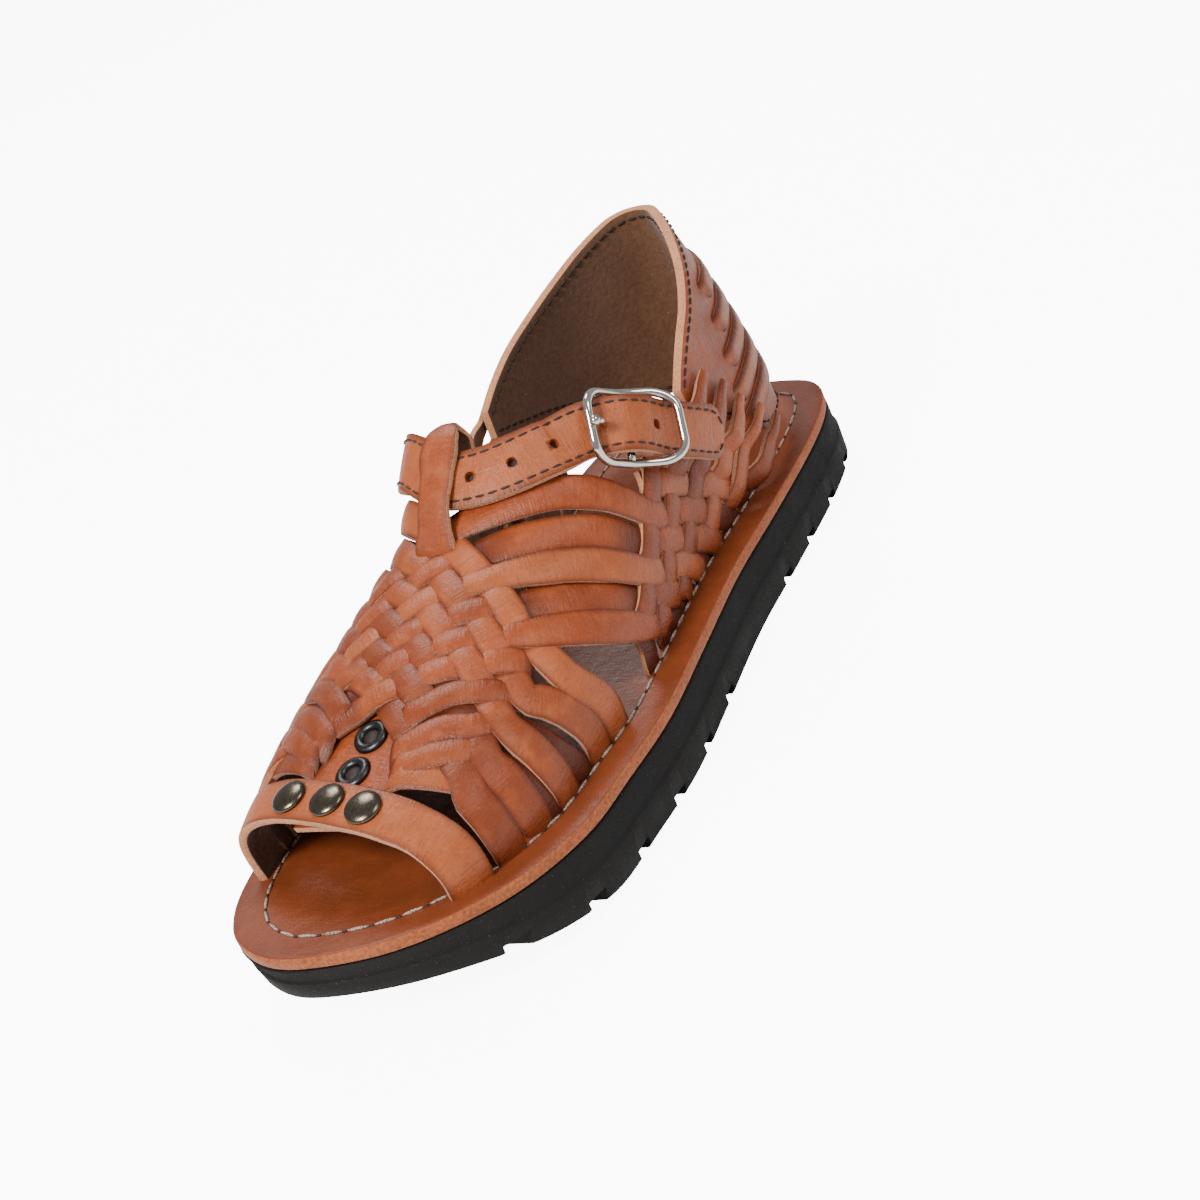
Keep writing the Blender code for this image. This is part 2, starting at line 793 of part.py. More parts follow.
def weave_strap(name, own, side, home):
    """One strap of the instep weave, from its loop to the insole behind its quarter."""
    folded = own == len(WEAVE) - 1
    parity = 0 if side > 0 else 1
    knots = loop_knots(own)
    for other in reversed(range(len(WEAVE))):
        girth = crossing_girth(own, other)
        if folded and other == 0:
            continue
        if other == len(WEAVE) - 1 and own == 0:
            continue
        high = (own + other) % 2 == parity
        knots.append(knot(weave_place(own, girth), girth, LAYER_RISE if high else 0.0, WEAVE_WIDTH))
    if folded:
        knots.append(knot(weave_place(own, FOLD_GIRTH), FOLD_GIRTH, 0.2 * MM, WEAVE_WIDTH))
    else:
        knots += side_knots(own)
    return strap_on_last(name, strap_stations(on_side(knots, side)), STRAP_THICKNESS, home)


def side_knots(own):
    """Knots of a side strap: along the open side and through the quarter weave."""
    row = own + 1
    first = lattice(row, 1)
    start = crossing_girth(own, 0)
    start_station = weave_place(own, start)
    raised = row % 2 == 1
    layer = LAYER_RISE if raised else 0.0
    knots = []
    for share in (0.33, 0.68):
        station = start_station + (first[0] - start_station) * share
        bow = 0.006 * math.sin(math.pi * share)
        girth = start + (first[1] - start) * share
        knots.append(knot(station + bow, girth, layer, SIDE_WIDTH))
    knots += row_knots(row)
    return knots


def row_knots(row):
    """Knots of a quarter row through its columns and down to the insole."""
    knots = []
    column = 1
    place = lattice(row, column)
    while place[1] < LATTICE_LIMIT:
        high = (row + column) % 2 == 0
        knots.append(knot(*place, LAYER_RISE if high else 0.0, QUARTER_WIDTH))
        column += 1
        place = lattice(row, column)
    end = table_end(row)
    knots += tail(end, 1, 0.2 * MM, QUARTER_WIDTH)[1:]
    return knots


def table_end(row):
    """Station where a quarter row reaches the insole."""
    column = 1 + (1 - QUARTER_GIRTH - ROW_GIRTH * row) / COLUMN_GIRTH
    return QUARTER_STATION + ROW_STATION * row + COLUMN_STATION * (column - 1)


def front_strap(name, m, side, home):
    """Strap out of a slit of the tongue, over the loops' straps and under the last of them."""
    start, girth, crossings, insole = FRONT_STRAPS[m]
    knots = [knot(start, girth, 0.9 * MM, FRONT_WIDTH)]
    for n, (_, station, place) in enumerate(crossings):
        last = n == len(crossings) - 1
        knots.append(knot(station, place, 0.0 if last else LAYER_RISE, FRONT_WIDTH))
    if insole:
        knots.append(knot((insole + crossings[-1][1]) / 2, 0.78, 0.0, FRONT_WIDTH))
        knots += tail(insole, 1, 0.0, FRONT_WIDTH)
    else:
        knots.append(knot(0.700, 0.70, 0.0, FRONT_WIDTH))
    return strap_on_last(name, strap_stations(on_side(knots, side)), STRAP_THICKNESS, home)


def over_counter(station, girth):
    """Height over the last that just clears the outside of the heel counter."""
    place = last_point(station, girth)
    height = max(place.z - insole_top(station), 0.0)
    lean = (height / HEEL_CUP_HEIGHT) ** CUP_LEAN_POWER
    column = 0.0
    while column < len(CUP) - 1:
        reach = table_column(CUP, 0, column) * (1 - lean) + table_column(CUP, 2, column) * lean
        if reach >= station:
            break
        column += 0.1
    half = table_column(CUP, 1, column) * (1 - lean) + table_column(CUP, 3, column) * lean
    wall = COUNTER_THICKNESS + GAP * 4 + (BAR_STEP if station < BAR_REACH else 0)
    side = 1 if girth > 0 else -1
    outside = half * BALL_WIDTH + wall / abs(cup_normal(side, column, height).x)
    return (outside - abs(place.x)) / abs(last_normal(station, girth).x)


def quarter_straps(label, side, home):
    """Uprights of a quarter, its top row and the ties to the heel counter."""
    straps = []
    knots = tail(0.566, 1, 0.0, QUARTER_WIDTH)[::-1] + [knot(0.561, 0.93, 0.0, QUARTER_WIDTH)]
    for row in reversed(range(0, ROW_COUNT + 1)):
        high = (row + 1) % 2 == 1
        knots.append(knot(*lattice(row, 1), LAYER_RISE if high else 0.0, QUARTER_WIDTH))
    knots.append(knot(0.404, 0.635, LAYER_RISE * 0.5, QUARTER_WIDTH))
    straps.append((f"{label}_upright_1", knots))
    for column, last_row, insole, slit, slit_girth in UPRIGHTS:
        knots = tail(insole, 1, 0.0, QUARTER_WIDTH)[::-1]
        for row in reversed(range(0, last_row + 1)):
            high = (row + column) % 2 == 1
            knots.append(knot(*lattice(row, column), LAYER_RISE if high else 0.0, QUARTER_WIDTH))
        top = lattice(-1, column)
        edge = (top[0] * 0.5 + slit * 0.5, top[1] * 0.5 + slit_girth * 0.5)
        lift = over_counter(edge[0], edge[1] * side)
        knots.append(knot(*top, lift * 0.5, QUARTER_WIDTH))
        knots.append(knot(*edge, lift, QUARTER_WIDTH * 0.85))
        knots.append(knot(slit, slit_girth, over_counter(slit, slit_girth * side), QUARTER_WIDTH * 0.45))
        straps.append((f"{label}_upright_{column}", knots))
    for n, (insole, mid, mid_girth, bow_out, slit, slit_girth) in enumerate(REAR_TIES):
        knots = tail(insole, 1, 0.0, QUARTER_WIDTH * 0.9)[::-1]
        knots.append(knot(mid, mid_girth, bow_out * MM, QUARTER_WIDTH * 0.9))
        lift = over_counter(slit, slit_girth * side)
        knots.append(knot(slit, slit_girth, lift, QUARTER_WIDTH * 0.45))
        straps.append((f"{label}_tie_{n}", knots))
    top_row = [knot(0.437, 0.63, LAYER_RISE * 0.3, QUARTER_WIDTH)] + row_knots(0)
    straps.append((f"{label}_top_row", top_row))
    for name, chain in straps:
        strap_on_last(name, strap_stations(on_side(chain, side)), STRAP_THICKNESS, home)


def make_upper(home, tools, finish):
    """Both weaves, the side straps and the quarters joined into one wall."""
    group = bpy.data.collections.new("upper_straps")
    tools.children.link(group)
    for side, label in ((1, "lateral"), (-1, "medial")):
        for own in range(len(WEAVE)):
            weave_strap(f"{label}_strap_{own}", own, side, group)
        for m in range(len(FRONT_STRAPS)):
            front_strap(f"{label}_front_{m}", m, side, group)
        quarter_straps(label, side, group)
    room = as_tool(tongue_solid("tongue_room", ROOM_START, len(TONGUE), TONGUE_ROOM, tools))
    blanks = sorted(group.objects, key=lambda thing: thing.name)
    first = blanks[0]
    mesh = first.data.copy()
    mesh.name = "upper"
    upper = add_object("upper", mesh, home, finish)
    bpy.data.objects.remove(first)
    for blank in group.objects:
        as_tool(blank)
    boolean(upper, group, "UNION")
    boolean(upper, room, "DIFFERENCE")
    boolean(upper, tail_floor(tools), "DIFFERENCE")
    return upper


def tail_floor(tools):
    """Cutter that trims every strap's tail at one depth in the insole."""
    top = insole_top(0) - TAIL_CUT
    rings = [outline_ring(lambda s: 0.0, top - 9 * MM), outline_ring(lambda s: 0.0, top)]
    return as_tool(add_object("tail_floor", slab_mesh("tail_floor", rings), tools))


def make_toe_band(home, tools, finish):
    """Plain band over the toes, its ends down in the insole, with holes for the rivets."""
    knots = [knot(s, g, GAP * 1.5 + 0.2 * MM, BAND_WIDTH) for s, g in BAND]
    ends = []
    for row, sign in ((BAND[0], -1), (BAND[-1], 1)):
        depth = TAIL_DEPTH / girth_length(row[0], sign)
        ends.append(knot(row[0], sign * (1 + depth), 0.2 * MM, BAND_WIDTH * 0.9))
    knots = [ends[0]] + knots + [ends[1]]
    chain = []
    for i in range(len(knots) - 1):
        for share in (0.0, 0.5):
            chain.append(curve_point(knots, i, share))
    chain.append(knots[-1])
    band = strap_on_last("toe_band", chain, BAND_THICKNESS, home)
    band.data.materials.append(finish)
    boolean(band, tools.objects["tail_floor"], "DIFFERENCE")
    return band


def tongue_rows():
    """Every row of the tongue, from its front end to the tab's inner end."""
    return TONGUE + [TAB_TIP] + TAB_INNER


def tongue_axis(row):
    """Middle of the tongue's underside at a row and the last's normal there."""
    station, _, height = tongue_rows()[row]
    normal = last_normal(station, 0.02)
    normal.x = 0
    normal.normalize()
    return last_point(station, 0.0) + normal * height * MM, normal


def tongue_section(row, grow):
    """Ring of points round the tongue, bent to the last under the weave and flat in the tab."""
    rows = tongue_rows()
    station, width, height = rows[row]
    centre, normal = tongue_axis(row)
    half = width * TONGUE_FRONT_WIDTH / 2 + grow
    shares = (-1.0, -0.5, 0.0, 0.5, 1.0)
    if height < 0:
        low = []
        high = []
        for share in shares:
            side = 1 if share >= 0 else -1
            girth = share * half / girth_length(station, side)
            out = last_normal(station, girth if girth else 0.01)
            place = last_point(station, girth)
            low.append(place + out * (height * MM - grow))
            high.append(place + out * (height * MM + TONGUE_THICKNESS + grow))
        return low + high[::-1]
    ahead = tongue_axis(min(row + 1, len(rows) - 1))[0]
    behind = tongue_axis(max(row - 1, 0))[0]
    across = Vector((1, 0, 0))
    up = across.cross((ahead - behind).normalized()).normalized()
    fold = len(TONGUE)
    if row == fold:
        up = Vector((0, normal.z, -normal.y))
    elif up.dot(normal) * (1 if row < fold else -1) < 0:
        up = -up
    low = [centre + across * half * share - up * grow for share in shares]
    high = [centre + across * half * share + up * (TONGUE_THICKNESS + grow) for share in shares]
    return low + high[::-1]


def tongue_solid(name, first, last, grow, home, finish=None):
    """The tongue's solid between two rows, grown all round."""
    sections = [tongue_section(row, grow) for row in range(first, last)]
    return add_object(name, rings_mesh(name, sections), home, finish)


def make_tongue(home, finish):
    """Centre strap under the band and the weave, ending in the folded tab."""
    return tongue_solid("tongue", 0, len(TONGUE) + 1 + len(TAB_INNER), 0.0, home, finish)


def drill(target, centre, axis, diameter, tools, name):
    """Cut a round hole through a strap."""
    bpy.ops.mesh.primitive_cylinder_add(vertices=12, radius=diameter / 2, depth=9 * MM)
    tool = bpy.context.object
    for group in list(tool.users_collection):
        group.objects.unlink(tool)
    tools.objects.link(tool)
    tool.name = name
    turn = Vector((0, 0, 1)).rotation_difference(axis).to_matrix().to_4x4()
    tool.data.transform(Matrix.Translation(centre) @ turn)
    as_tool(tool)
    boolean(target, tool, "DIFFERENCE")
    return tool


def turned(name, profile, centre, axis, home, finish, steps=14):
    """Turned piece from a profile of (radius, height) pairs on an axis."""
    mesh = bpy.data.meshes.new(name)
    shape = bmesh.new()
    verts = [shape.verts.new((radius, 0, height)) for radius, height in profile]
    edges = [shape.edges.new(pair) for pair in zip(verts, verts[1:])]
    closed = profile[0][0] > 0 and profile[-1][0] > 0
    if closed:
        edges.append(shape.edges.new((verts[-1], verts[0])))
    bmesh.ops.spin(
        shape, geom=verts + edges, cent=(0, 0, 0), axis=(0, 0, 1), angle=2 * math.pi, steps=steps, use_merge=True
    )
    bmesh.ops.remove_doubles(shape, verts=shape.verts, dist=1e-6)
    bmesh.ops.recalc_face_normals(shape, faces=shape.faces)
    shape.to_mesh(mesh)
    shape.free()
    turn = Vector((0, 0, 1)).rotation_difference(axis).to_matrix().to_4x4()
    mesh.transform(Matrix.Translation(centre) @ turn)
    return add_object(name, mesh, home, finish)


def make_rivets(band, tongue, home, tools, finish):
    """Three domed rivets through the band, the middle one through the tongue too."""
    for n, (station, girth) in enumerate(RIVETS, start=1):
        normal = last_normal(station, girth if girth else 0.01)
        surface = last_point(station, girth)
        head = GAP * 1.5 + 0.2 * MM + BAND_THICKNESS + GAP + 0.35 * MM
        radius = RIVET_DIAMETER / 2
        shank = RIVET_SHANK / 2
        foot = head - BAND_THICKNESS - 0.6 * MM
        profile = [
            (0.0, head + RIVET_DOME),
            (radius * 0.45, head + RIVET_DOME * 0.88),
            (radius * 0.8, head + RIVET_DOME * 0.52),
            (radius, head + RIVET_DOME * 0.12),
            (radius, head),
            (shank, head),
            (shank, foot),
            (0.0, foot),
        ]
        turned(f"rivet_{n}", profile, surface, normal, home, finish)
        drill(band, surface, normal, RIVET_SHANK + 2 * GAP, tools, f"rivet_hole_{n}")


def make_eyelets(tongue, home, tools, finish):
    """Two turned eyelets with a real bore through the tongue."""
    for n, station in enumerate(EYELETS, start=1):
        normal = last_normal(station, 0.01)
        normal.x = 0
        normal.normalize()
        surface = last_point(station, 0.0)
        bottom = -2.4 * MM
        top = bottom + TONGUE_THICKNESS + GAP + 0.2 * MM
        bore = EYELET_BORE / 2
        barrel = bore + 0.7 * MM
        radius = EYELET_DIAMETER / 2
        profile = [
            (bore, top + EYELET_LIP * 0.7),
            (bore + 1.0 * MM, top + EYELET_LIP),
            (radius - 1.0 * MM, top + EYELET_LIP * 0.8),
            (radius, top),
            (barrel, top),
            (barrel, bottom),
            (bore, bottom),
        ]
        turned(f"eyelet_{n}", profile, surface, normal, home, finish)
        drill(tongue, surface, normal, barrel * 2 + 2 * GAP, tools, f"eyelet_hole_{n}")


def cup_point(side, column, height):
    """Point on the inner face of the heel cup at a column of the table and a height."""
    low_station = table_column(CUP, 0, column)
    low_half = table_column(CUP, 1, column)
    high_station = table_column(CUP, 2, column)
    high_half = table_column(CUP, 3, column)
    lean = (height / HEEL_CUP_HEIGHT) ** CUP_LEAN_POWER
    station = low_station + (high_station - low_station) * lean
    half = low_half + (high_half - low_half) * lean
    return Vector((side * half * BALL_WIDTH, y_of(station), insole_top(0) + height))


def table_column(table, field, column):
    """A field of a table at a column number between its rows."""
    low = min(int(column), len(table) - 2)
    share = column - low
    return table[low][field] + (table[low + 1][field] - table[low][field]) * share


def cup_normal(side, column, height):
    """Outward direction of the heel cup."""
    column = max(column, 0.0)
    before = cup_point(-side if column < 0.2 else side, abs(column - 0.2), height)
    after = cup_point(side, min(column + 0.2, len(CUP) - 1), height)
    upward = cup_point(side, column, height + 2 * MM) - cup_point(side, column, height - 2 * MM)
    return upward.cross(after - before).normalized() * side


def make_counter(home, tools, finish):
    """Open cup round the heel with five raised bars on each side."""
    columns = [(-1, n) for n in range(MEDIAL_COLUMNS, 0, -1)]
    columns += [(1, n) for n in range(LATERAL_COLUMNS + 1)]
    rows = 4
    shape = bmesh.new()
    inner = []
    outer = []
    for side, column in columns:
        low = CUP[column][5 if side > 0 else 6] * HEEL_CUP_HEIGHT
        high = CUP[column][4 if side > 0 else 7] * HEEL_CUP_HEIGHT
        line_in = []
        line_out = []
        for n in range(rows + 1):
            height = low + (high - low) * n / rows
            point = cup_point(side, column, height)
            out = cup_normal(side, column, height)
            line_in.append(shape.verts.new(point))
            line_out.append(shape.verts.new(point + out * COUNTER_THICKNESS))
        inner.append(line_in)
        outer.append(line_out)
    for grid in (inner, outer):
        for a, b in zip(grid, grid[1:]):
            for n in range(rows):
                shape.faces.new((a[n], b[n], b[n + 1], a[n + 1]))
    for n in (0, rows):
        for i in range(len(columns) - 1):
            shape.faces.new((inner[i][n], inner[i + 1][n], outer[i + 1][n], outer[i][n]))
    for i in (0, -1):
        for n in range(rows):
            shape.faces.new((inner[i][n], inner[i][n + 1], outer[i][n + 1], outer[i][n]))
    bmesh.ops.recalc_face_normals(shape, faces=shape.faces)
    mesh = bpy.data.meshes.new("heel_counter")
    shape.to_mesh(mesh)
    shape.free()
    counter = add_object("heel_counter", mesh, home, finish)
    group = bpy.data.collections.new("counter_bars")
    tools.children.link(group)
    for side, label in ((1, "lateral"), (-1, "medial")):
        for bar in range(BAR_COUNT):
            counter_bar(f"{label}_bar_{bar}", side, bar, group)
    boolean(counter, group, "UNION")
    return counter


def counter_bar(name, side, bar, home):
    """One raised bar of the counter, its ends cut on a slant."""
    steps = 4
    half = BAR_WIDTH / 2
    front = BAR_FRONT + BAR_FRONT_STEP * bar
    rear_height = (BAR_TOP_REAR - BAR_PITCH_REAR * bar) * HEEL_CUP_HEIGHT
    front_height = (BAR_TOP_FRONT - BAR_PITCH_FRONT * bar) * HEEL_CUP_HEIGHT
    sections = []
    for n in range(steps + 1):
        share = n / steps
        column = BAR_REAR + (front - BAR_REAR) * share
        middle = rear_height + (front_height - rear_height) * share
        slant = 0.22 if n in (0, steps) else 0
        section = []
        for height, rise in ((-half, -0.8 * MM), (half, -0.8 * MM), (half, BAR_STEP), (-half, BAR_STEP)):
            place = column + (slant if height > 0 else -slant) * (1 if n else -1)
            out = cup_normal(side, place, middle + height)
            section.append(cup_point(side, place, middle + height) + out * (COUNTER_THICKNESS + rise))
        sections.append(section)
    return as_tool(add_object(name, rings_mesh(name, sections), home))


@lru_cache(maxsize=None)
def ankle_line():
    """Closely spaced (distance from the buckle, station, girth) along the ankle strap."""
    points = [Vector((row[0], row[1], 0)) for row in ANKLE_LINE]
    samples = []
    for i in range(len(points) - 1):
        for n in range(LINE_STEPS):
            place = curve_point(points, i, n / LINE_STEPS)
            samples.append((place.x, place.y))
    samples.append((points[-1].x, points[-1].y))
    distances = [0.0]
    for a, b in zip(samples, samples[1:]):
        distances.append(distances[-1] + (last_point(*b) - last_point(*a)).length)
    zero = distances[BUCKLE_ROW * LINE_STEPS]
    return tuple((d - zero, *place) for d, place in zip(distances, samples))


def ankle_place(distance):
    """Station and girth on the ankle strap's line at a distance from the buckle."""
    line = ankle_line()
    i = max([n for n in range(len(line) - 1) if line[n][0] <= distance] or [0])
    share = (distance - line[i][0]) / (line[i + 1][0] - line[i][0])
    low = line[i]
    high = line[i + 1]
    return low[1] + (high[1] - low[1]) * share, low[2] + (high[2] - low[2]) * share


def buckle_axes(distance):
    """Point on the last, direction along the strap, across it and outward."""
    centre = last_point(*ankle_place(distance))
    normal = last_normal(*ankle_place(distance))
    along = last_point(*ankle_place(distance + 3 * MM)) - last_point(*ankle_place(distance - 3 * MM))
    along = (along - normal * along.dot(normal)).normalized()
    across = normal.cross(along).normalized()
    return centre, along, across, normal


def at_buckle(x, y, height):
    """Place near the buckle: along the strap, across it and over the last, in millimetres."""
    centre, _, across, normal = buckle_axes(x * MM)
    return centre + across * y * MM + normal * height * MM


def ankle_path():
    """Centres, normals and widths of the ankle strap's inner face."""
    places = []
    for station, girth, height in ANKLE_LINE:
        if height is not None:
            out = last_normal(station, girth if girth else 0.01)
            places.append((last_point(station, girth) + out * height * MM, out, ANKLE_WIDTH))
    for x, height in ANKLE_BUCKLE:
        places.append((at_buckle(x, 0, height), buckle_axes(x * MM)[3], ANKLE_WIDTH))
    end, end_height = ANKLE_BUCKLE[-1]
    for share, width in ((0.5, 0.86), (0.85, 0.55), (1.0, 0.22)):
        x = end + (ANKLE_TIP - end) * share
        places.append((at_buckle(x, 0, end_height), buckle_axes(x * MM)[3], ANKLE_WIDTH * width))
    return places


def make_ankle_strap(home, tools, finish):
    """Strap from inside the medial quarter, through the tab's loop and the buckle."""
    places = ankle_path()
    centres = [place[0] for place in places]
    normals = [place[1] for place in places]
    widths = [place[2] for place in places]
    strap = ribbon("ankle_strap", centres, normals, widths, ANKLE_THICKNESS, home, finish)
    _, along, _, normal = buckle_axes(-9 * MM)
    axis = (normal - along * 0.7).normalized()
    drill(strap, at_buckle(-8.3, 0, 6.6), axis, 5.2 * MM, tools, "prong_hole")
    for n, x in enumerate(STRAP_HOLES, start=1):
        drill(strap, at_buckle(x, 0, 5), buckle_axes(x * MM)[3], HOLE_DIAMETER, tools, f"strap_hole_{n}")
    return strap


def make_carrier(home, finish):
    """Leather folded round the centre bar and laid on the quarter."""
    sections = []
    for i, (x, height) in enumerate(CARRIER):
        before = CARRIER[max(i - 1, 0)]
        after = CARRIER[min(i + 1, len(CARRIER) - 1)]
        run = Vector((after[0] - before[0], after[1] - before[1])).normalized()
        out = Vector((run.y, -run.x)) * CARRIER_THICKNESS / MM / 2
        half = CARRIER_WIDTH / MM / 2
        section = []
        for sign, edge in ((-1, -half), (-1, half), (1, half), (1, -half)):
            section.append(at_buckle(x + out.x * sign, edge, height + out.y * sign))
        sections.append(section)
    return add_object("buckle_carrier", rings_mesh("buckle_carrier", sections), home, finish)


def wire(name, points, diameter, closed, resolution=2):
    """Mesh of a round wire along points."""
    curve = bpy.data.curves.new(name, "CURVE")
    curve.dimensions = "3D"
    curve.bevel_depth = diameter / 2
    curve.bevel_resolution = resolution
    curve.use_fill_caps = not closed
    line = curve.splines.new("POLY")
    line.points.add(len(points) - 1)
    for place, point in zip(line.points, points):
        place.co = (*point, 1)
    line.use_cyclic_u = closed
    holder = bpy.data.objects.new(name, curve)
    bpy.context.scene.collection.objects.link(holder)
    bpy.context.view_layer.update()
    graph = bpy.context.evaluated_depsgraph_get()
    mesh = bpy.data.meshes.new_from_object(holder.evaluated_get(graph))
    bpy.data.objects.remove(holder)
    shape = bmesh.new()
    shape.from_mesh(mesh)
    bmesh.ops.remove_doubles(shape, verts=shape.verts, dist=1e-6)
    bmesh.ops.recalc_face_normals(shape, faces=shape.faces)
    shape.to_mesh(mesh)
    shape.free()
    return mesh


def bow(x):
    """Height of the buckle's frame over the last at a distance along the strap."""
    reach = (BUCKLE_LENGTH - BUCKLE_WIRE) / MM / 2
    end = BOW_FRONT if x < 0 else BOW_REAR
    return BAR_HEIGHT + (end - BAR_HEIGHT) * (abs(x) / reach) ** 1.6


def make_buckle(home, tools, finish):
    """Rounded frame bowed over the strap, with its centre bar."""
    reach = (BUCKLE_LENGTH - BUCKLE_WIRE) / MM / 2
    half = (ANKLE_WIDTH + 2.0 * MM + BUCKLE_WIRE) / MM / 2
    corner = 6.0
    points = []
    for cx, cy, start in ((1, 1, 0), (-1, 1, 90), (-1, -1, 180), (1, -1, 270)):
        for n in range(4):
            angle = math.radians(start + 30 * n)
            x = cx * (reach - corner) + corner * math.cos(angle)
            y = cy * (half - corner) + corner * math.sin(angle)
            points.append(at_buckle(x, y, bow(x)))
        if cx * cy > 0:
            for x in (4 * cx, 0, -4 * cx):
                points.append(at_buckle(x, cy * half, bow(x)))
    frame = add_object("buckle_frame", wire("buckle_frame", points, BUCKLE_WIRE, True), home, finish)
    ends = [at_buckle(0, -half + 0.2, BAR_HEIGHT), at_buckle(0, half - 0.2, BAR_HEIGHT)]
    bar = as_tool(add_object("buckle_bar", wire("buckle_bar", ends, BUCKLE_BAR, False), tools))
    boolean(frame, bar, "UNION")
    return frame


def make_prong(home, tools, finish):
    """Prong from the centre bar up through the strap's hole, its ball on the front bar."""
    points = [at_buckle(x, 0, height) for x, height in PRONG]
    prong = add_object("buckle_prong", wire("buckle_prong", points, PRONG_WIRE, False), home, finish)
    bpy.ops.mesh.primitive_uv_sphere_add(segments=10, ring_count=6, radius=PRONG_BALL / 2 * MM)
    ball = bpy.context.object
    for group in list(ball.users_collection):
        group.objects.unlink(ball)
    tools.objects.link(ball)
    ball.name = "prong_ball"
    ball.data.transform(Matrix.Translation(at_buckle(PRONG[-1][0], 0, PRONG[-1][1] + 0.7)))
    as_tool(ball)
    boolean(prong, ball, "UNION")
    return prong


def stand_at_origin(things):
    """Move everything so that the outsole's box is centred on the origin."""
    sole = next(thing for thing in things if thing.name == "outsole")
    xs = [vertex.co.x for vertex in sole.data.vertices]
    ys = [vertex.co.y for vertex in sole.data.vertices]
    shift = Matrix.Translation((-(min(xs) + max(xs)) / 2, -(min(ys) + max(ys)) / 2, 0))
    for thing in things:
        thing.data.transform(shift)


def main():
    """Build the sandal."""
    clear_scene()
    home = collection("huarache_sandal")
    tools = collection("cutters")
    tan = material("tan_leather", (0.36, 0.12, 0.045), 0.5)
    footbed = material("footbed_leather", (0.30, 0.10, 0.04), 0.45)
    rubber = material("black_rubber", (0.02, 0.02, 0.022), 0.8)
    nickel = material("nickel", (0.75, 0.73, 0.70), 0.2, 1.0)
    brass = material("antique_brass", (0.22, 0.18, 0.12), 0.35, 1.0)
    gunmetal = material("gunmetal", (0.05, 0.05, 0.06), 0.3, 1.0)
    make_outsole(home, tools, rubber)
    make_insole(home, tools, footbed)
    make_upper(home, tools, tan)
    band = make_toe_band(home, tools, tan)
    tongue = make_tongue(home, tan)
    make_rivets(band, tongue, home, tools, brass)
    make_eyelets(tongue, home, tools, gunmetal)
    make_counter(home, tools, tan)
    make_ankle_strap(home, tools, tan)
    make_carrier(home, tan)
    make_buckle(home, tools, nickel)
    make_prong(home, tools, nickel)
    everything = [thing for thing in bpy.data.objects if thing.type == "MESH"]
    stand_at_origin(everything)


main()
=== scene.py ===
"""Left huarache sandal: its leather, rubber, thread and metal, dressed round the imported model.

Sizes are in metres. Places on the upper are given on its last: a station is a share of the
length from the heel, and a girth is a share of the way from the ridge (0) down to the insole,
+1 on the lateral side and -1 on the medial side.
"""

import math
import random
from bisect import bisect_right
from functools import lru_cache

import bmesh
import bpy
from mathutils import Matrix, Vector, noise


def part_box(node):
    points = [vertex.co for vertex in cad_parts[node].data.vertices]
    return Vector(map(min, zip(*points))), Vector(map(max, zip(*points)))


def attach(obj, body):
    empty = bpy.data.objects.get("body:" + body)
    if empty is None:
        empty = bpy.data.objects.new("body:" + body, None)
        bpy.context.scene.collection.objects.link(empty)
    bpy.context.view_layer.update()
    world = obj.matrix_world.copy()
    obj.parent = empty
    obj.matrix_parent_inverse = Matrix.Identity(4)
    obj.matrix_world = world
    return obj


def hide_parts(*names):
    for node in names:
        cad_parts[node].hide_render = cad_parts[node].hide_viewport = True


bl_info = {
    "name": "Huarache Sandal",
    "version": (1, 0, 0),
    "blender": (4, 5, 0),
    "location": "View3D > Sidebar > Sandal",
    "description": "Dresses the packed sandal in woven leather, rubber, thread and metal",
    "category": "Object",
}

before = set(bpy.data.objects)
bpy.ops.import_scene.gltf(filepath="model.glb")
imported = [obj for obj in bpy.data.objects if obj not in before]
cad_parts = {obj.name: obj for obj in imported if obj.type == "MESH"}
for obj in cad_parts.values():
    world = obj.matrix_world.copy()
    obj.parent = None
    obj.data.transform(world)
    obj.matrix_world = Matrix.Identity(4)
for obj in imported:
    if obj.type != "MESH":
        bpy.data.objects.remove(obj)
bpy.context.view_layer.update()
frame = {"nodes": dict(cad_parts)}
MM = 0.001

# Sizes of the solids, with the finish's own widths for the weave, the loops and the front straps
LENGTH = 288 * MM
BALL_WIDTH = 104 * MM
INSTEP_HEIGHT = 69 * MM
HEEL_CUP_HEIGHT = 77 * MM
GAP = 0.3 * MM
OUTSOLE_THICKNESS = 19.7 * MM
INSOLE_THICKNESS = 4 * MM
TOE_SPRING = 7.7 * MM
SPRING_START = 0.66
HEEL_FLARE = 0.4 * MM
TOE_THINNING = 8.5 * MM
THINNING_START = 0.78
FEATHER_LATERAL = 12 * MM
FEATHER_MEDIAL = 8.5 * MM
TAIL_DEPTH = 2.4 * MM
STRAP_THICKNESS = 2.0 * MM
LAYER_RISE = 1.5 * MM
WEAVE_WIDTH = 8.8 * MM
SIDE_WIDTH = 10.4 * MM
QUARTER_WIDTH = 8.6 * MM
LOOP_WIDTH = 10.6 * MM
FRONT_WIDTH = 7.9 * MM
BAND_WIDTH = 13.2 * MM
BAND_THICKNESS = 2.5 * MM
TONGUE_THICKNESS = 2.0 * MM
TONGUE_FRONT_WIDTH = 30 * MM
COUNTER_THICKNESS = 3.0 * MM
BAR_WIDTH = 7.4 * MM
BAR_STEP = 1.1 * MM
BAR_COUNT = 5
BAR_REACH = 0.215
ANKLE_WIDTH = 16.4 * MM
ANKLE_THICKNESS = 3.0 * MM
CARRIER_THICKNESS = 1.8 * MM
CARRIER_WIDTH = 13.2 * MM
BUCKLE_LENGTH = 28 * MM
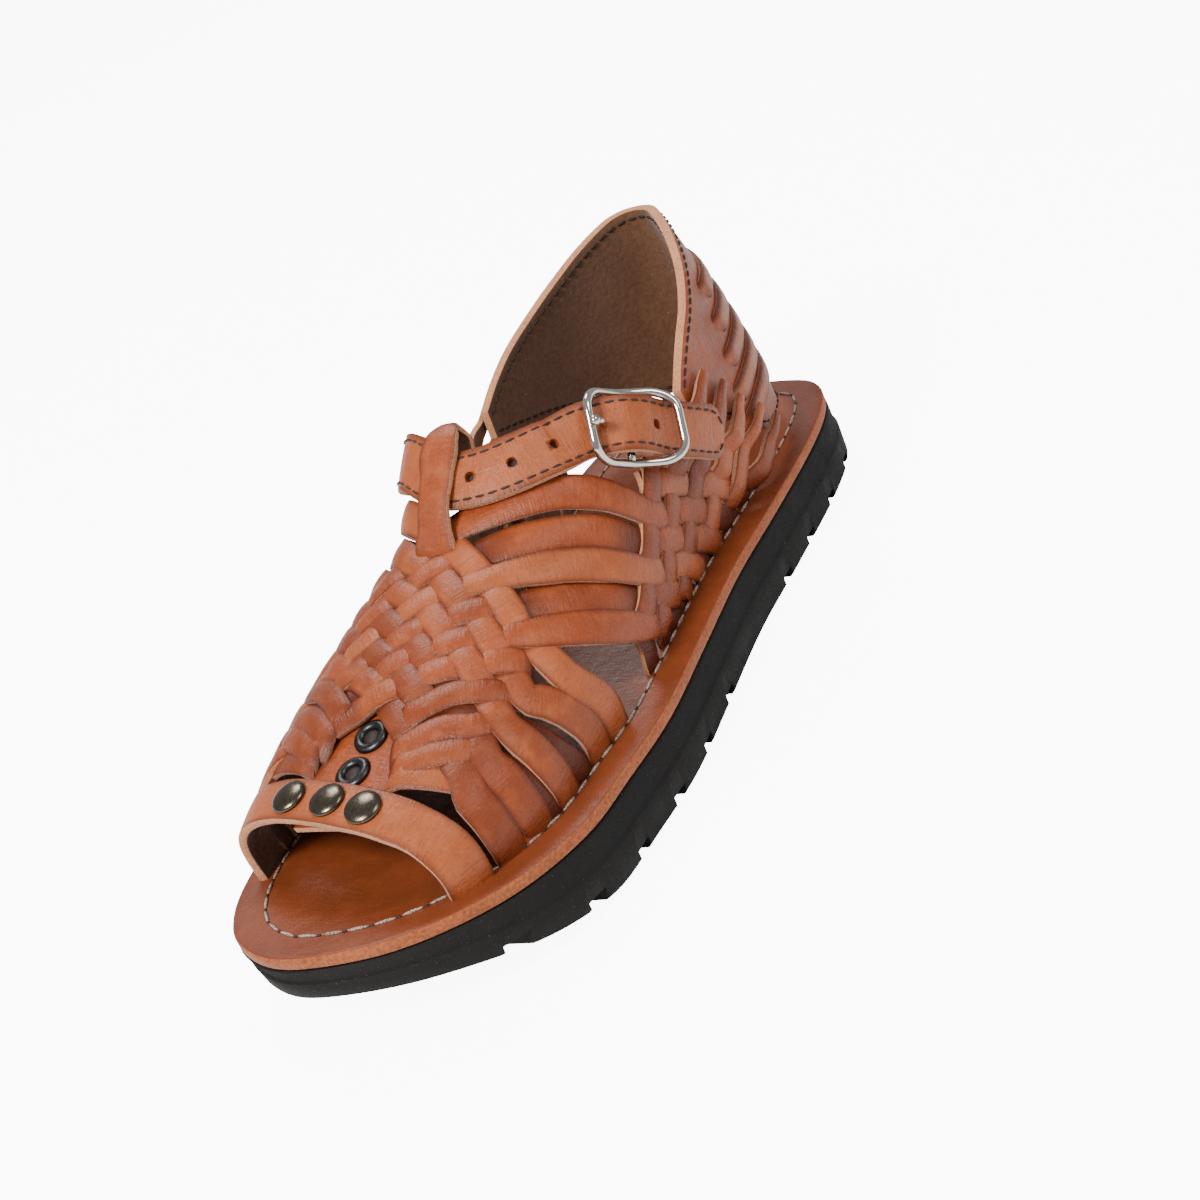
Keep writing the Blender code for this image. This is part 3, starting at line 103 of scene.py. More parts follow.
BUCKLE_WIRE = 2.6 * MM
FRAME_REACH = (BUCKLE_LENGTH - BUCKLE_WIRE) / MM / 2
FRAME_ROOM = 2.0 * MM
FRAME_CORNER = 6.0
BOW_POWER = 1.6
BAR_RADIUS = 1.2 * MM
PRONG_RADIUS = 0.95 * MM
PRONG_TIP_RADIUS = 1.6 * MM
BAND_LIFT = GAP * 1.5 + 0.2 * MM
TONGUE_DEPTH = -2.4
RIVET_RADIUS = 5.2 * MM
RIVET_BRIM = 0.25 * MM
RIVET_DOME = 1.7 * MM
EYELET_RADIUS = 5.3 * MM
EYELET_BORE = 2.3 * MM
EYELET_ROLL = 1.25 * MM

# The rubber's side and the notches between its lugs
STEP_SHARE = 0.56
SOLE_LEAN = 0.8 * MM
FLARE_END = 0.25
TOE_TUCK = -2.4 * MM
TOE_TUCK_START = 0.86
# First station and count of the lugs behind and in front of the arch
REAR_LUGS = (0.085, 4)
FRONT_LUGS = (0.52, 6)
LUG_PITCH = 0.077
LUG_ANGLE = 0.12
BACK_LUG_PITCH = 22 * MM
NOTCH_REACH = 24 * MM
NOTCH_WIDTH = 6 * MM
NOTCH_HEIGHT = 7.2 * MM

# Half widths of the sole from its centre line, as shares of the ball width
OUTLINE = [
    # station, lateral, medial
    (0.008, 0.236, 0.152),
    (0.030, 0.346, 0.246),
    (0.080, 0.409, 0.332),
    (0.160, 0.439, 0.380),
    (0.280, 0.449, 0.371),
    (0.400, 0.452, 0.348),
    (0.520, 0.482, 0.368),
    (0.630, 0.508, 0.437),
    (0.720, 0.496, 0.488),
    (0.800, 0.482, 0.503),
    (0.880, 0.404, 0.463),
    (0.940, 0.275, 0.387),
    (0.980, 0.117, 0.276),
]
HEEL_END = -0.014
TOE_END = -0.105

# The last: ridge place as a share of the ball width, height as a share of the instep height,
# and how square each side of the section is
LAST = [
    # station, ridge, height, lateral fullness, medial fullness
    (0.14, -0.038, 1.66, 2.7, 2.8),
    (0.21, -0.038, 1.59, 2.6, 2.8),
    (0.28, -0.038, 1.51, 2.6, 2.8),
    (0.35, -0.048, 1.38, 2.5, 2.8),
    (0.42, -0.058, 1.20, 2.4, 2.8),
    (0.486, -0.058, 1.00, 2.3, 2.8),
    (0.54, -0.058, 0.81, 2.2, 2.8),
    (0.59, -0.058, 0.70, 2.1, 2.8),
    (0.64, -0.053, 0.635, 2.1, 2.8),
    (0.695, -0.048, 0.57, 2.1, 2.8),
    (0.765, -0.043, 0.48, 2.2, 2.8),
    (0.815, -0.048, 0.404, 2.4, 2.8),
    (0.87, -0.067, 0.333, 2.6, 2.8),
    (0.92, -0.087, 0.268, 2.6, 2.8),
]
STATION_STEPS = 4000
SECTION_STEPS = 40
BULGE_LATERAL = 1.0 * MM
BULGE_MEDIAL = 3.0 * MM

# The six straps of each weave family: where they cross the ridge and where they meet the insole
WEAVE = [
    # ridge station, loop station
    (0.576, 0.665),
    (0.614, 0.700),
    (0.652, 0.765),
    (0.688, 0.811),
    (0.722, 0.845),
    (0.755, None),
]
QUARTER_SLOPE = 0.122
SOLE_SLOPE = 0.188
LOOP_TURN = 0.62
MEDIAL_SHIFT = 0.026
SHIFT_START = 0.72
SHIFT_RUN = 0.12
SHIFT_GIRTH = 0.4
FOLD_GIRTH = 0.54
FRONT_TUCK_GIRTH = 0.21
FRONT_TUCK_RISE = 0.6 * MM
LOOP_FOOT_RISE = 0.35 * MM
LOOP_FOOT_GIRTH = 0.84
FOOT_RISE = 0.2 * MM
OPEN_SIDE_SHARES = (0.33, 0.68)
OPEN_SIDE_BOW = 0.006

# Straps out of the tongue's slits: places where they cross the loops, then the insole
FRONT_STRAPS = [
    # start station, start girth, crossings (loop strap, station, girth), insole station
    (0.785, 0.17, ((5, 0.767, 0.25), (4, 0.750, 0.33), (3, 0.737, 0.45), (2, 0.725, 0.59)), None),
    (0.819, 0.20, ((5, 0.788, 0.355), (4, 0.777, 0.475), (3, 0.760, 0.57)), 0.733),
    (0.835, 0.25, ((5, 0.808, 0.455), (4, 0.800, 0.60)), 0.790),
    (0.842, 0.27, ((5, 0.829, 0.60),), 0.826),
]
FRONT_START_RISE = 0.9 * MM
FRONT_LOW_GIRTH = 0.78
FRONT_HIDDEN_END = (0.700, 0.70)
FRONT_SKEW = 3.0 * MM
SKEW_REACH = 12 * MM

# Lattice of the quarter weave
QUARTER_STATION = 0.424
QUARTER_GIRTH = 0.66
ROW_STATION = 0.0264
ROW_GIRTH = 0.039
COLUMN_STATION = -0.0347
COLUMN_GIRTH = 0.072
ROW_COUNT = 5
LATTICE_LIMIT = 0.965
QUARTER_FOOT = 0.566
QUARTER_BEND = (0.561, 0.93)
QUARTER_TIP = (0.404, 0.635)
TOP_ROW_START = (0.437, 0.63)
SLIT_WIDTH = QUARTER_WIDTH * 0.45

# Upright straps of the quarter that end on the heel counter
UPRIGHTS = [
    # column, last row, insole station, slit station, slit girth
    (2, 5, 0.522, 0.280, 0.620),
    (3, 4, 0.465, 0.252, 0.690),
    (4, 2, 0.387, 0.232, 0.760),
]
REAR_TIES = [
    # insole station, middle station, middle girth, middle lift, slit station, slit girth
    (0.310, 0.270, 0.90, 3.6, 0.207, 0.825),
    (0.268, 0.222, 0.94, 6.0, 0.182, 0.890),
]

# Toe band's centre line
BAND = [
    # station, girth
    (0.860, -1.00),
    (0.860, -0.80),
    (0.863, -0.50),
    (0.867, -0.27),
    (0.873, 0.00),
    (0.881, 0.30),
    (0.886, 0.58),
    (0.888, 0.80),
    (0.888, 1.00),
]
RIVETS = ((0.867, -0.26), (0.873, 0.02), (0.880, 0.27))
EYELETS = (0.834, 0.795)

# Tongue: station, width as a share of its front width, height over the last in millimetres
TONGUE = [
    (0.893, 0.62, TONGUE_DEPTH),
    (0.870, 0.86, TONGUE_DEPTH),
    (0.845, 1.00, TONGUE_DEPTH),
    (0.815, 0.92, TONGUE_DEPTH),
    (0.780, 0.70, TONGUE_DEPTH),
    (0.740, 0.50, TONGUE_DEPTH),
    (0.700, 0.46, TONGUE_DEPTH),
    (0.640, 0.46, TONGUE_DEPTH),
    (0.612, 0.46, TONGUE_DEPTH),
    (0.590, 0.44, 2.2),
    (0.570, 0.36, 5.6),
    (0.550, 0.34, 8.1),
    (0.528, 0.36, 8.1),
    (0.508, 0.42, 8.0),
    (0.494, 0.36, 7.0),
]
TAB_START = 0.60
TAB_TIP = (0.485, 0.13, 4.4)
TAB_INNER = [
    (0.493, 0.36, 1.9),
    (0.506, 0.42, 1.4),
    (0.528, 0.36, 1.4),
    (0.540, 0.34, 1.4),
]

# Heel cup from the middle of the back to the front end
CUP = [
    # low station, low half width, high station, high half width, tops and feet of both sides
    (0.045, 0.000, 0.060, 0.000, 1.00, 0.11, 0.11, 1.00),
    (0.052, 0.090, 0.066, 0.046, 1.00, 0.11, 0.11, 1.00),
    (0.067, 0.163, 0.083, 0.088, 1.00, 0.11, 0.13, 0.987),
    (0.094, 0.250, 0.115, 0.150, 0.985, 0.11, 0.18, 0.935),
    (0.135, 0.322, 0.149, 0.202, 0.95, 0.11, 0.26, 0.867),
    (0.184, 0.350, 0.190, 0.252, 0.89, 0.13, 0.34, 0.80),
    (0.229, 0.360, 0.232, 0.286, 0.82, 0.26, 0.40, 0.745),
    (0.268, 0.364, 0.268, 0.308, 0.77, 0.37, 0.45, 0.68),
    (0.300, 0.364, 0.296, 0.320, 0.71, 0.46, 0.49, 0.62),
    (0.325, 0.362, 0.325, 0.328, 0.635, 0.54, 0.54, 0.60),
]
LATERAL_COLUMNS = 9
MEDIAL_COLUMNS = 8
CUP_LEAN_POWER = 1.8
BAR_REAR = 0.7
BAR_FRONT = 4.9
BAR_FRONT_STEP = 0.42
BAR_TOP_REAR = 0.75
BAR_TOP_FRONT = 0.755
BAR_PITCH_REAR = 0.098
BAR_PITCH_FRONT = 0.128
BAR_SLANT = 0.24
BAR_DIP = 0.10
BAR_RISE = 2.5 * MM
BAR_SINK = 0.9 * MM
BAR_THICKNESS = 1.6 * MM
BAR_ROUND = 0.3 * MM
CUP_ROUND = 0.55 * MM
CUP_GRID = (72, 20)
BAR_GRID = (36, 6)

# Ankle strap's line over the last, from its medial end to its tip
ANKLE_LINE = [
    # station, girth, height of its inner face in millimetres, None where the buckle sets it
    (0.340, -0.735, -3.7),
    (0.370, -0.690, -3.7),
    (0.400, -0.610, -3.5),
    (0.430, -0.500, -2.0),
    (0.452, -0.400, 1.6),
    (0.474, -0.310, 4.1),
    (0.503, -0.150, 4.5),
    (0.526, 0.000, 4.5),
    (0.524, 0.120, 4.5),
    (0.512, 0.210, 4.3),
    (0.490, 0.300, 3.9),
    (0.455, 0.386, None),
    (0.420, 0.490, None),
    (0.383, 0.593, None),
    (0.345, 0.680, None),
    (0.305, 0.758, None),
]
BUCKLE_ROW = 12
LINE_STEPS = 8
STRAP_HOLES = (4.5, -21, -32.5, -43.5)
HOLE_DEPTH = 5 * MM
HOLE_RADIUS_LOW = 1.3 * MM
HOLE_RADIUS_TOP = 1.7 * MM
PLUG_RADIUS = 1.2 * MM

# Ankle strap through the buckle: distance along it and height of its inner face, in millimetres
ANKLE_BUCKLE = [
    (-21, 2.6),
    (-14, 2.7),
    (-9, 4.6),
    (-4, 8.2),
    (0, 9.1),
    (4, 8.9),
    (9, 8.0),
    (14, 8.3),
    (18, 9.0),
    (25, 9.3),
    (31, 9.2),
]
ANKLE_TIP = 36.5

# Carrier folded round the centre bar: distance and height of its middle, in millimetres
CARRIER = [
    (18, 5.6),
    (14, 4.9),
    (10, 3.7),
    (5, 2.9),
    (1.5, 2.9),
    (-0.4, 3.0),
    (-1.8, 3.8),
    (-2.4, 5.4),
    (-1.8, 7.0),
    (-0.4, 7.8),
    (2, 7.5),
    (6, 6.6),
    (10, 6.2),
    (14, 7.1),
    (18, 7.7),
]
BAR_HEIGHT = 5.4
BOW_FRONT = 9.9
BOW_REAR = 14.6

# Prong: distance along the strap and height, in millimetres
PRONG = [
    (-4.3, 5.5),
    (-6.0, 5.6),
    (-7.6, 7.1),
    (-9.4, 9.7),
    (-11.0, 11.9),
    (-12.9, 12.5),
]

# Sizes of the finish
CROWN = 0.75 * MM
FLAT_CROWN = 0.25 * MM
EDGE_WAVER = 0.05
FACE_WAVER = 0.12 * MM
STRAP_STEP = 2.0 * MM
STRAP_COLUMNS = 8
SOLE_ROWS = 96
SOLE_COLUMNS = 24
WIRE_SIDES = 14
SADDLE_INSET = 9.4 * MM
SADDLE_STITCH = 6.4 * MM
SADDLE_PITCH = 7.4 * MM
SADDLE_THREAD = 0.90 * MM
SEAM_STITCH = 3.1 * MM
SEAM_PITCH = 3.9 * MM
SEAM_THREAD = 0.75 * MM
SEAM_INSET = 1.9 * MM
CUP_SEAM_INSET = 2.6 * MM
CUP_SEAM_STEPS = 140
CUP_SEAM_END = 0.012
SADDLE_START = 1 * MM
SADDLE_ROWS = 160
FINE_STEP = 1.6 * MM
EDGE_ANGLE = 50
FLOOR_SIZE = 12.0
PRICK_LENGTH = 1.5 * MM
PRICK_AHEAD = 1.25 * MM
PRICK_SUNK = 0.42

# Kinds of the sockets of both node groups; the others hold a number
SOCKET_KINDS = {
    "Place": "Vector",
    "Strap": "Vector",
    "Normal": "Vector",
    "Colour": "Color",
    "Deep": "Color",
    "Pale": "Color",
}
METALS = {
    # name: colour, tarnish, roughness, wear
    "antique_brass": ((0.115, 0.096, 0.070), (0.050, 0.042, 0.032), 0.24, 0.35),
    "gunmetal": ((0.055, 0.053, 0.055), (0.022, 0.019, 0.018), 0.34, 0.7),
    "polished_nickel": ((0.60, 0.58, 0.55), (0.34, 0.32, 0.30), 0.10, 0.5),
}
LIGHTS = [
    # name, place, size, power, colour
    ("key", (-0.10, -1.00, 1.10), 0.4, 31, (1.0, 0.97, 0.93)),
    ("fill", (0.9, 0.1, 1.1), 0.5, 8, (1.0, 0.98, 0.96)),
    ("back", (-0.6, 0.7, 1.2), 0.5, 12, (1.0, 0.98, 0.96)),
]

# Camera fitted to the photo
CAMERA_PLACE = (0.3414, -0.4200, 0.3156)
CAMERA_RIGHT = (0.839, 0.400, -0.370)
CAMERA_UP = (0.072, 0.592, 0.803)
CAMERA_BACK = (0.540, -0.700, 0.468)
CAMERA_LENS = 61.7
CAMERA_SENSOR = 36


def held(share):
    """A share held between 0 and 1."""
    return max(0.0, min(1.0, share))


def blend(a, b, share):
    """Value on the way from a to b."""
    return a + (b - a) * share


def smooth_step(share):
    """Ease from 0 to 1."""
    share = held(share)
    return share * share * (3 - 2 * share)


def table_value(table, column, x):
    """Read a table's column at x with a smooth curve through its rows."""
    xs = [row[0] for row in table]
    ys = [row[column] for row in table]
    if x <= xs[0]:
        return ys[0] + (ys[1] - ys[0]) * (x - xs[0]) / (xs[1] - xs[0])
    if x >= xs[-1]:
        return ys[-1] + (ys[-1] - ys[-2]) * (x - xs[-1]) / (xs[-1] - xs[-2])
    i = max(n for n in range(len(xs) - 1) if xs[n] <= x)
    slopes = []
    for n in (i, i + 1):
        low = max(n - 1, 0)
        high = min(n + 1, len(xs) - 1)
        slopes.append((ys[high] - ys[low]) / (xs[high] - xs[low]))
    span = xs[i + 1] - xs[i]
    t = (x - xs[i]) / span
    rise = ys[i] * (1 + 2 * t) * (1 - t) ** 2 + ys[i + 1] * t * t * (3 - 2 * t)
    return rise + span * (slopes[0] * t * (1 - t) ** 2 - slopes[1] * t * t * (1 - t))


def curve_point(points, i, t, closed=False):
    """Point between points i and i + 1 of a smooth curve through all of them."""
    count = len(points)
    if closed:
        a, b, c, d = (points[(i + k) % count] for k in (-1, 0, 1, 2))
    else:
        b = points[i]
        c = points[i + 1]
        a = points[i - 1] if i > 0 else b * 2 - c
        d = points[i + 2] if i + 2 < count else c * 2 - b
    pull = (c - a) * 0.5
    push = (d - b) * 0.5
    return (
        b * (2 * t ** 3 - 3 * t * t + 1)
        + c * (3 * t * t - 2 * t ** 3)
        + pull * (t ** 3 - 2 * t * t + t)
        + push * (t ** 3 - t * t)
    )


def curve_line(points, steps):
    """Places on a smooth curve through points, a number of steps from each to the next."""
    count = len(points) - 1
    line = [curve_point(points, i, k / steps) for i in range(count) for k in range(steps)]
    return line + [points[-1]]


def running_lengths(points):
    """Distance of each point from the first, along the line through them."""
    run = [0.0]
    for a, b in zip(points, points[1:]):
        run.append(run[-1] + (b - a).length)
    return run


def spring(station):
    """Height that the toe end of the sole lifts off the floor."""
    share = max(0.0, (station - SPRING_START) / (1 - SPRING_START))
    return TOE_SPRING * share ** 2


def thinning(station, height):
    """Extra lift of the rubber toward the toe, most at its tread and none at its top."""
    share = smooth_step((station - THINNING_START) / (1 - THINNING_START))
    return TOE_THINNING * share * max(0.0, 1 - height / OUTSOLE_THICKNESS)


def station_of(y):
    """Share of the length at a Y place."""
    return 0.5 - y / LENGTH


def y_of(station):
    """Y place of a share of the length."""
    return (0.5 - station) * LENGTH


@lru_cache(maxsize=None)
def sole_outline(steps=12):
    """Plan of the sole, from the heel end along the lateral side to the toe and back."""
    points = [Vector((HEEL_END * BALL_WIDTH, y_of(0)))]
    points += [Vector((row[1] * BALL_WIDTH, y_of(row[0]))) for row in OUTLINE]
    points.append(Vector((TOE_END * BALL_WIDTH, y_of(1))))
    points += [Vector((-row[2] * BALL_WIDTH, y_of(row[0]))) for row in reversed(OUTLINE)]
    ring = []
    for i in range(len(points)):
        for k in range(steps):
            ring.append(curve_point(points, i, k / steps, closed=True))
    return tuple(point.freeze() for point in ring)


@lru_cache(maxsize=None)
def outline_x(station, side):
    """X of the sole's edge at a station, on the lateral (+1) or medial (-1) side."""
    ring = sole_outline()
    half = len(ring) // 2
    chain = ring[: half + 1] if side > 0 else ring[half:] + ring[:1]
    y = y_of(station)
    for a, b in zip(chain, chain[1:]):
        if (a.y - y) * (b.y - y) <= 0 and a.y != b.y:
            return a.x + (b.x - a.x) * (y - a.y) / (b.y - a.y)
    return HEEL_END * BALL_WIDTH


def insole_top(station):
    """Z of the insole's upper face."""
    return OUTSOLE_THICKNESS + GAP + INSOLE_THICKNESS + spring(station)


@lru_cache(maxsize=None)
def half_section(key, side):
    """Section of the last from the ridge down to the insole, with running lengths."""
    station = key / STATION_STEPS
    ridge = table_value(LAST, 1, station) * BALL_WIDTH
    height = table_value(LAST, 2, station) * INSTEP_HEIGHT
    power = table_value(LAST, 3 if side > 0 else 4, station)
    inset = FEATHER_LATERAL if side > 0 else FEATHER_MEDIAL
    bulge = BULGE_LATERAL if side > 0 else -BULGE_MEDIAL
    feather = outline_x(station, side) - side * inset
    points = []
    for n in range(SECTION_STEPS + 1):
        angle = math.pi / 2 * (1 - n / SECTION_STEPS)
        x = blend(ridge, feather, math.cos(angle) ** (2 / power)) + bulge * math.sin(2 * angle)
        z = height * math.sin(angle) ** (2 / power)
        points.append((x, z))
    lengths = [0.0]
    for a, b in zip(points, points[1:]):
        lengths.append(lengths[-1] + math.hypot(b[0] - a[0], b[1] - a[1]))
    return points, lengths


def last_point(station, girth):
    """Point on the last's surface."""
    side = 1 if girth >= 0 else -1
    points, lengths = half_section(round(station * STATION_STEPS), side)
    distance = abs(girth) * lengths[-1]
    base = insole_top(station)
    if distance >= lengths[-1]:
        x, z = points[-1]
        return Vector((x, y_of(station), base - (distance - lengths[-1])))
    i = max(n for n in range(len(lengths) - 1) if lengths[n] <= distance)
    t = (distance - lengths[i]) / (lengths[i + 1] - lengths[i])
    x = blend(points[i][0], points[i + 1][0], t)
    z = blend(points[i][1], points[i + 1][1], t)
    return Vector((x, y_of(station), base + z))


def last_normal(station, girth):
    """Outward direction of the last's surface."""
    around = last_point(station, girth + 0.012) - last_point(station, girth - 0.012)
    along = last_point(station + 0.004, girth) - last_point(station - 0.004, girth)
    return along.cross(around).normalized()


def girth_length(station, side):
    """Length round the last from the ridge to the insole."""
    return half_section(round(station * STATION_STEPS), side)[1][-1]


def table_column(table, field, column):
    """A field of a table at a column number between its rows."""
    low = min(int(column), len(table) - 2)
    return blend(table[low][field], table[low + 1][field], column - low)


def cup_value(field, column, odd=False):
    """A field of the cup's table on a smooth curve, mirrored at the middle of the back."""
    last = len(CUP) - 1
    low = min(int(column), last - 1)
    values = []
    for n in range(low - 1, low + 3):
        if n < 0:
            values.append(CUP[-n][field] * (-1 if odd else 1))
        elif n > last:
            values.append(CUP[last][field] * 2 - CUP[last - 1][field])
        else:
            values.append(CUP[n][field])
    return curve_point([Vector((value, 0)) for value in values], 1, column - low).x


def cup_point(side, column, height):
    """Point on the inner face of the heel cup at a column of the table and a height."""
    lean = (max(height, 0.0) / HEEL_CUP_HEIGHT) ** CUP_LEAN_POWER
    low_station = cup_value(0, column)
    station = blend(low_station, cup_value(2, column), lean)
    low_half = cup_value(1, column, odd=True)
    half = blend(low_half, cup_value(3, column, odd=True), lean)
    return Vector((side * half * BALL_WIDTH, y_of(station), insole_top(0) + height))


def cup_normal(side, column, height):
    """Outward direction of the heel cup."""
    column = max(column, 0.0)
    before = cup_point(-side if column < 0.2 else side, abs(column - 0.2), height)
    after = cup_point(side, min(column + 0.2, len(CUP) - 1), height)
    upward = cup_point(side, column, height + 2 * MM) - cup_point(side, column, height - 2 * MM)
    return upward.cross(after - before).normalized() * side


def cup_edges(share):
    """Side, column, foot and top of the cup at a share of the way round it."""
    column = share * (LATERAL_COLUMNS + MEDIAL_COLUMNS) - MEDIAL_COLUMNS
    side = 1 if column >= 0 else -1
    column = abs(column)
    low = cup_value(5 if side > 0 else 6, column) * HEEL_CUP_HEIGHT
    high = cup_value(4 if side > 0 else 7, column) * HEEL_CUP_HEIGHT
    return side, column, low, high


def knot(station, girth, layer, width):
    """One place on a strap's centre line, as a vector that can be blended."""
    return Vector((station, girth, layer, width))


def on_side(knots, side):
    """Knots for one side; the medial front straps stand a little further back, behind the band."""
    placed = []
    for place in knots:
        girth = place.y * side
        share = held((place.x - SHIFT_START) / SHIFT_RUN) * held(-girth / SHIFT_GIRTH)
        placed.append(Vector((place.x - MEDIAL_SHIFT * share, girth, place.z, place.w)))
    return placed


def crossing_girth(own, other):
    """Girth at which two straps of the instep weave cross, + toward the own quarter."""
    return (WEAVE[own][0] - WEAVE[other][0]) / (QUARTER_SLOPE + SOLE_SLOPE)


def weave_place(own, girth):
    """Station of an instep strap at a girth."""
    slope = QUARTER_SLOPE if girth > 0 else SOLE_SLOPE
    return WEAVE[own][0] - slope * girth


def lattice(row, column):
    """Place of a crossing in the quarter weave."""
    station = QUARTER_STATION + ROW_STATION * row + COLUMN_STATION * (column - 1)
    girth = QUARTER_GIRTH + ROW_GIRTH * row + COLUMN_GIRTH * (column - 1)
    return station, girth


def tail(station, side_girth, layer, width):
    """Last stretch of a strap, down through the insole's slot."""
    sign = 1 if side_girth > 0 else -1
    depth = TAIL_DEPTH / girth_length(station, sign)
    return [
        knot(station, sign * 0.97, layer, width),
        knot(station, sign * (1 + depth), layer, width),
    ]


def loop_knots(own):
    """Knots of an instep strap from the insole up to the weave, at negative girth."""
    loop = WEAVE[own][1]
    if loop is None:
        tuck = [-FRONT_TUCK_GIRTH, -FRONT_TUCK_GIRTH / 2]
        return [knot(weave_place(own, g), g, FRONT_TUCK_RISE, WEAVE_WIDTH) for g in tuck]
    knots = list(reversed(tail(loop, -1, LOOP_FOOT_RISE, LOOP_WIDTH)))
    knots.append(knot(loop + 0.002, -LOOP_FOOT_GIRTH, LAYER_RISE * 0.75, LOOP_WIDTH))
    turn = -LOOP_TURN - 0.06
    knots.append(knot((loop + weave_place(own, -LOOP_TURN)) / 2, turn, LAYER_RISE, LOOP_WIDTH))
    for m, strap in reversed(list(enumerate(FRONT_STRAPS, start=1))):
        for crossed, station, girth in strap[2]:
            if crossed == own + 1:
                layer = LAYER_RISE if m == own else 0.0
                knots.append(knot(station, -girth, layer, WEAVE_WIDTH))
    return knots


def weave_knots(own, side):
    """Knots of one strap of the instep weave, from its loop to the insole behind its quarter."""
    folded = own == len(WEAVE) - 1
    parity = 0 if side > 0 else 1
    knots = loop_knots(own)
    for other in reversed(range(len(WEAVE))):
        girth = crossing_girth(own, other)
        if folded and other == 0:
            continue
        if other == len(WEAVE) - 1 and own == 0:
            continue
        high = (own + other) % 2 == parity
        layer = LAYER_RISE if high else 0.0
        knots.append(knot(weave_place(own, girth), girth, layer, WEAVE_WIDTH))
    if folded:
        knots.append(knot(weave_place(own, FOLD_GIRTH), FOLD_GIRTH, FOOT_RISE, WEAVE_WIDTH))
    else:
        knots += side_knots(own)
    return on_side(knots, side)


def side_knots(own):
    """Knots of a side strap: along the open side and through the quarter weave."""
    row = own + 1
    first_station, first_girth = lattice(row, 1)
    start = crossing_girth(own, 0)
    layer = LAYER_RISE if row % 2 == 1 else 0.0
    knots = []
    for share in OPEN_SIDE_SHARES:
        station = blend(weave_place(own, start), first_station, share)
        bow_out = OPEN_SIDE_BOW * math.sin(math.pi * share)
        knots.append(knot(station + bow_out, blend(start, first_girth, share), layer, SIDE_WIDTH))
    return knots + row_knots(row)


def crossing_knot(row, column, over):
    """Knot of a quarter strap where it crosses another, over or under it."""
    return knot(*lattice(row, column), LAYER_RISE if over else 0.0, QUARTER_WIDTH)


def row_knots(row):
    """Knots of a quarter row through its columns and down to the insole."""
    knots = []
    column = 1
    while lattice(row, column)[1] < LATTICE_LIMIT:
        knots.append(crossing_knot(row, column, (row + column) % 2 == 0))
        column += 1
    end, _ = lattice(row, 1 + (1 - QUARTER_GIRTH - ROW_GIRTH * row) / COLUMN_GIRTH)
    return knots + tail(end, 1, FOOT_RISE, QUARTER_WIDTH)[1:]


def front_knots(m, side):
    """Knots of a strap out of a slit of the tongue, over the loops and under the last of them."""
    start, girth, crossings, insole = FRONT_STRAPS[m]
    knots = [knot(start, girth, FRONT_START_RISE, FRONT_WIDTH)]
    for n, (_, station, place) in enumerate(crossings):
        last = n == len(crossings) - 1
        knots.append(knot(station, place, 0.0 if last else LAYER_RISE, FRONT_WIDTH))
    if insole:
        knots.append(knot((insole + crossings[-1][1]) / 2, FRONT_LOW_GIRTH, 0.0, FRONT_WIDTH))
        knots += tail(insole, 1, 0.0, FRONT_WIDTH)
    else:
        knots.append(knot(*FRONT_HIDDEN_END, 0.0, FRONT_WIDTH))
    return on_side(knots, side)


def over_counter(station, girth):
    """Height over the last that just clears the outside of the heel counter."""
    place = last_point(station, girth)
    height = max(place.z - insole_top(station), 0.0)
    lean = (height / HEEL_CUP_HEIGHT) ** CUP_LEAN_POWER
    column = 0.0
    while column < len(CUP) - 1:
        reach = blend(table_column(CUP, 0, column), table_column(CUP, 2, column), lean)
        if reach >= station:
            break
        column += 0.1
    half = blend(table_column(CUP, 1, column), table_column(CUP, 3, column), lean)
    wall = COUNTER_THICKNESS + GAP * 4 + (BAR_STEP if station < BAR_REACH else 0)
    side = 1 if girth > 0 else -1
    outside = half * BALL_WIDTH + wall / abs(cup_normal(side, column, height).x)
    return (outside - abs(place.x)) / abs(last_normal(station, girth).x)


def quarter_knots(side):
    """Knots of a quarter's uprights, its top row and the ties to the heel counter."""

    def up_from(foot, column, last_row):
        """Knots from the insole up through the rows of a column."""
        knots = tail(foot, 1, 0.0, QUARTER_WIDTH)[::-1]
        if column == 1:
            knots.append(knot(*QUARTER_BEND, 0.0, QUARTER_WIDTH))
        for row in reversed(range(0, last_row + 1)):
            knots.append(crossing_knot(row, column, (row + column) % 2 == 1))
        return knots

    chains = [up_from(QUARTER_FOOT, 1, ROW_COUNT)]
    chains[0].append(knot(*QUARTER_TIP, LAYER_RISE * 0.5, QUARTER_WIDTH))
    for column, last_row, insole, slit, slit_girth in UPRIGHTS:
        knots = up_from(insole, column, last_row)
        top = lattice(-1, column)
        edge = (blend(top[0], slit, 0.5), blend(top[1], slit_girth, 0.5))
        lift = over_counter(edge[0], edge[1] * side)
        knots.append(knot(*top, lift * 0.5, QUARTER_WIDTH))
        knots.append(knot(*edge, lift, QUARTER_WIDTH * 0.85))
        knots.append(knot(slit, slit_girth, over_counter(slit, slit_girth * side), SLIT_WIDTH))
        chains.append(knots)
    for insole, mid, mid_girth, bow_out, slit, slit_girth in REAR_TIES:
        knots = tail(insole, 1, 0.0, QUARTER_WIDTH * 0.9)[::-1]
        knots.append(knot(mid, mid_girth, bow_out * MM, QUARTER_WIDTH * 0.9))
        knots.append(knot(slit, slit_girth, over_counter(slit, slit_girth * side), SLIT_WIDTH))
        chains.append(knots)
    chains.append([knot(*TOP_ROW_START, LAYER_RISE * 0.3, QUARTER_WIDTH)] + row_knots(0))
    return [on_side(chain, side) for chain in chains]


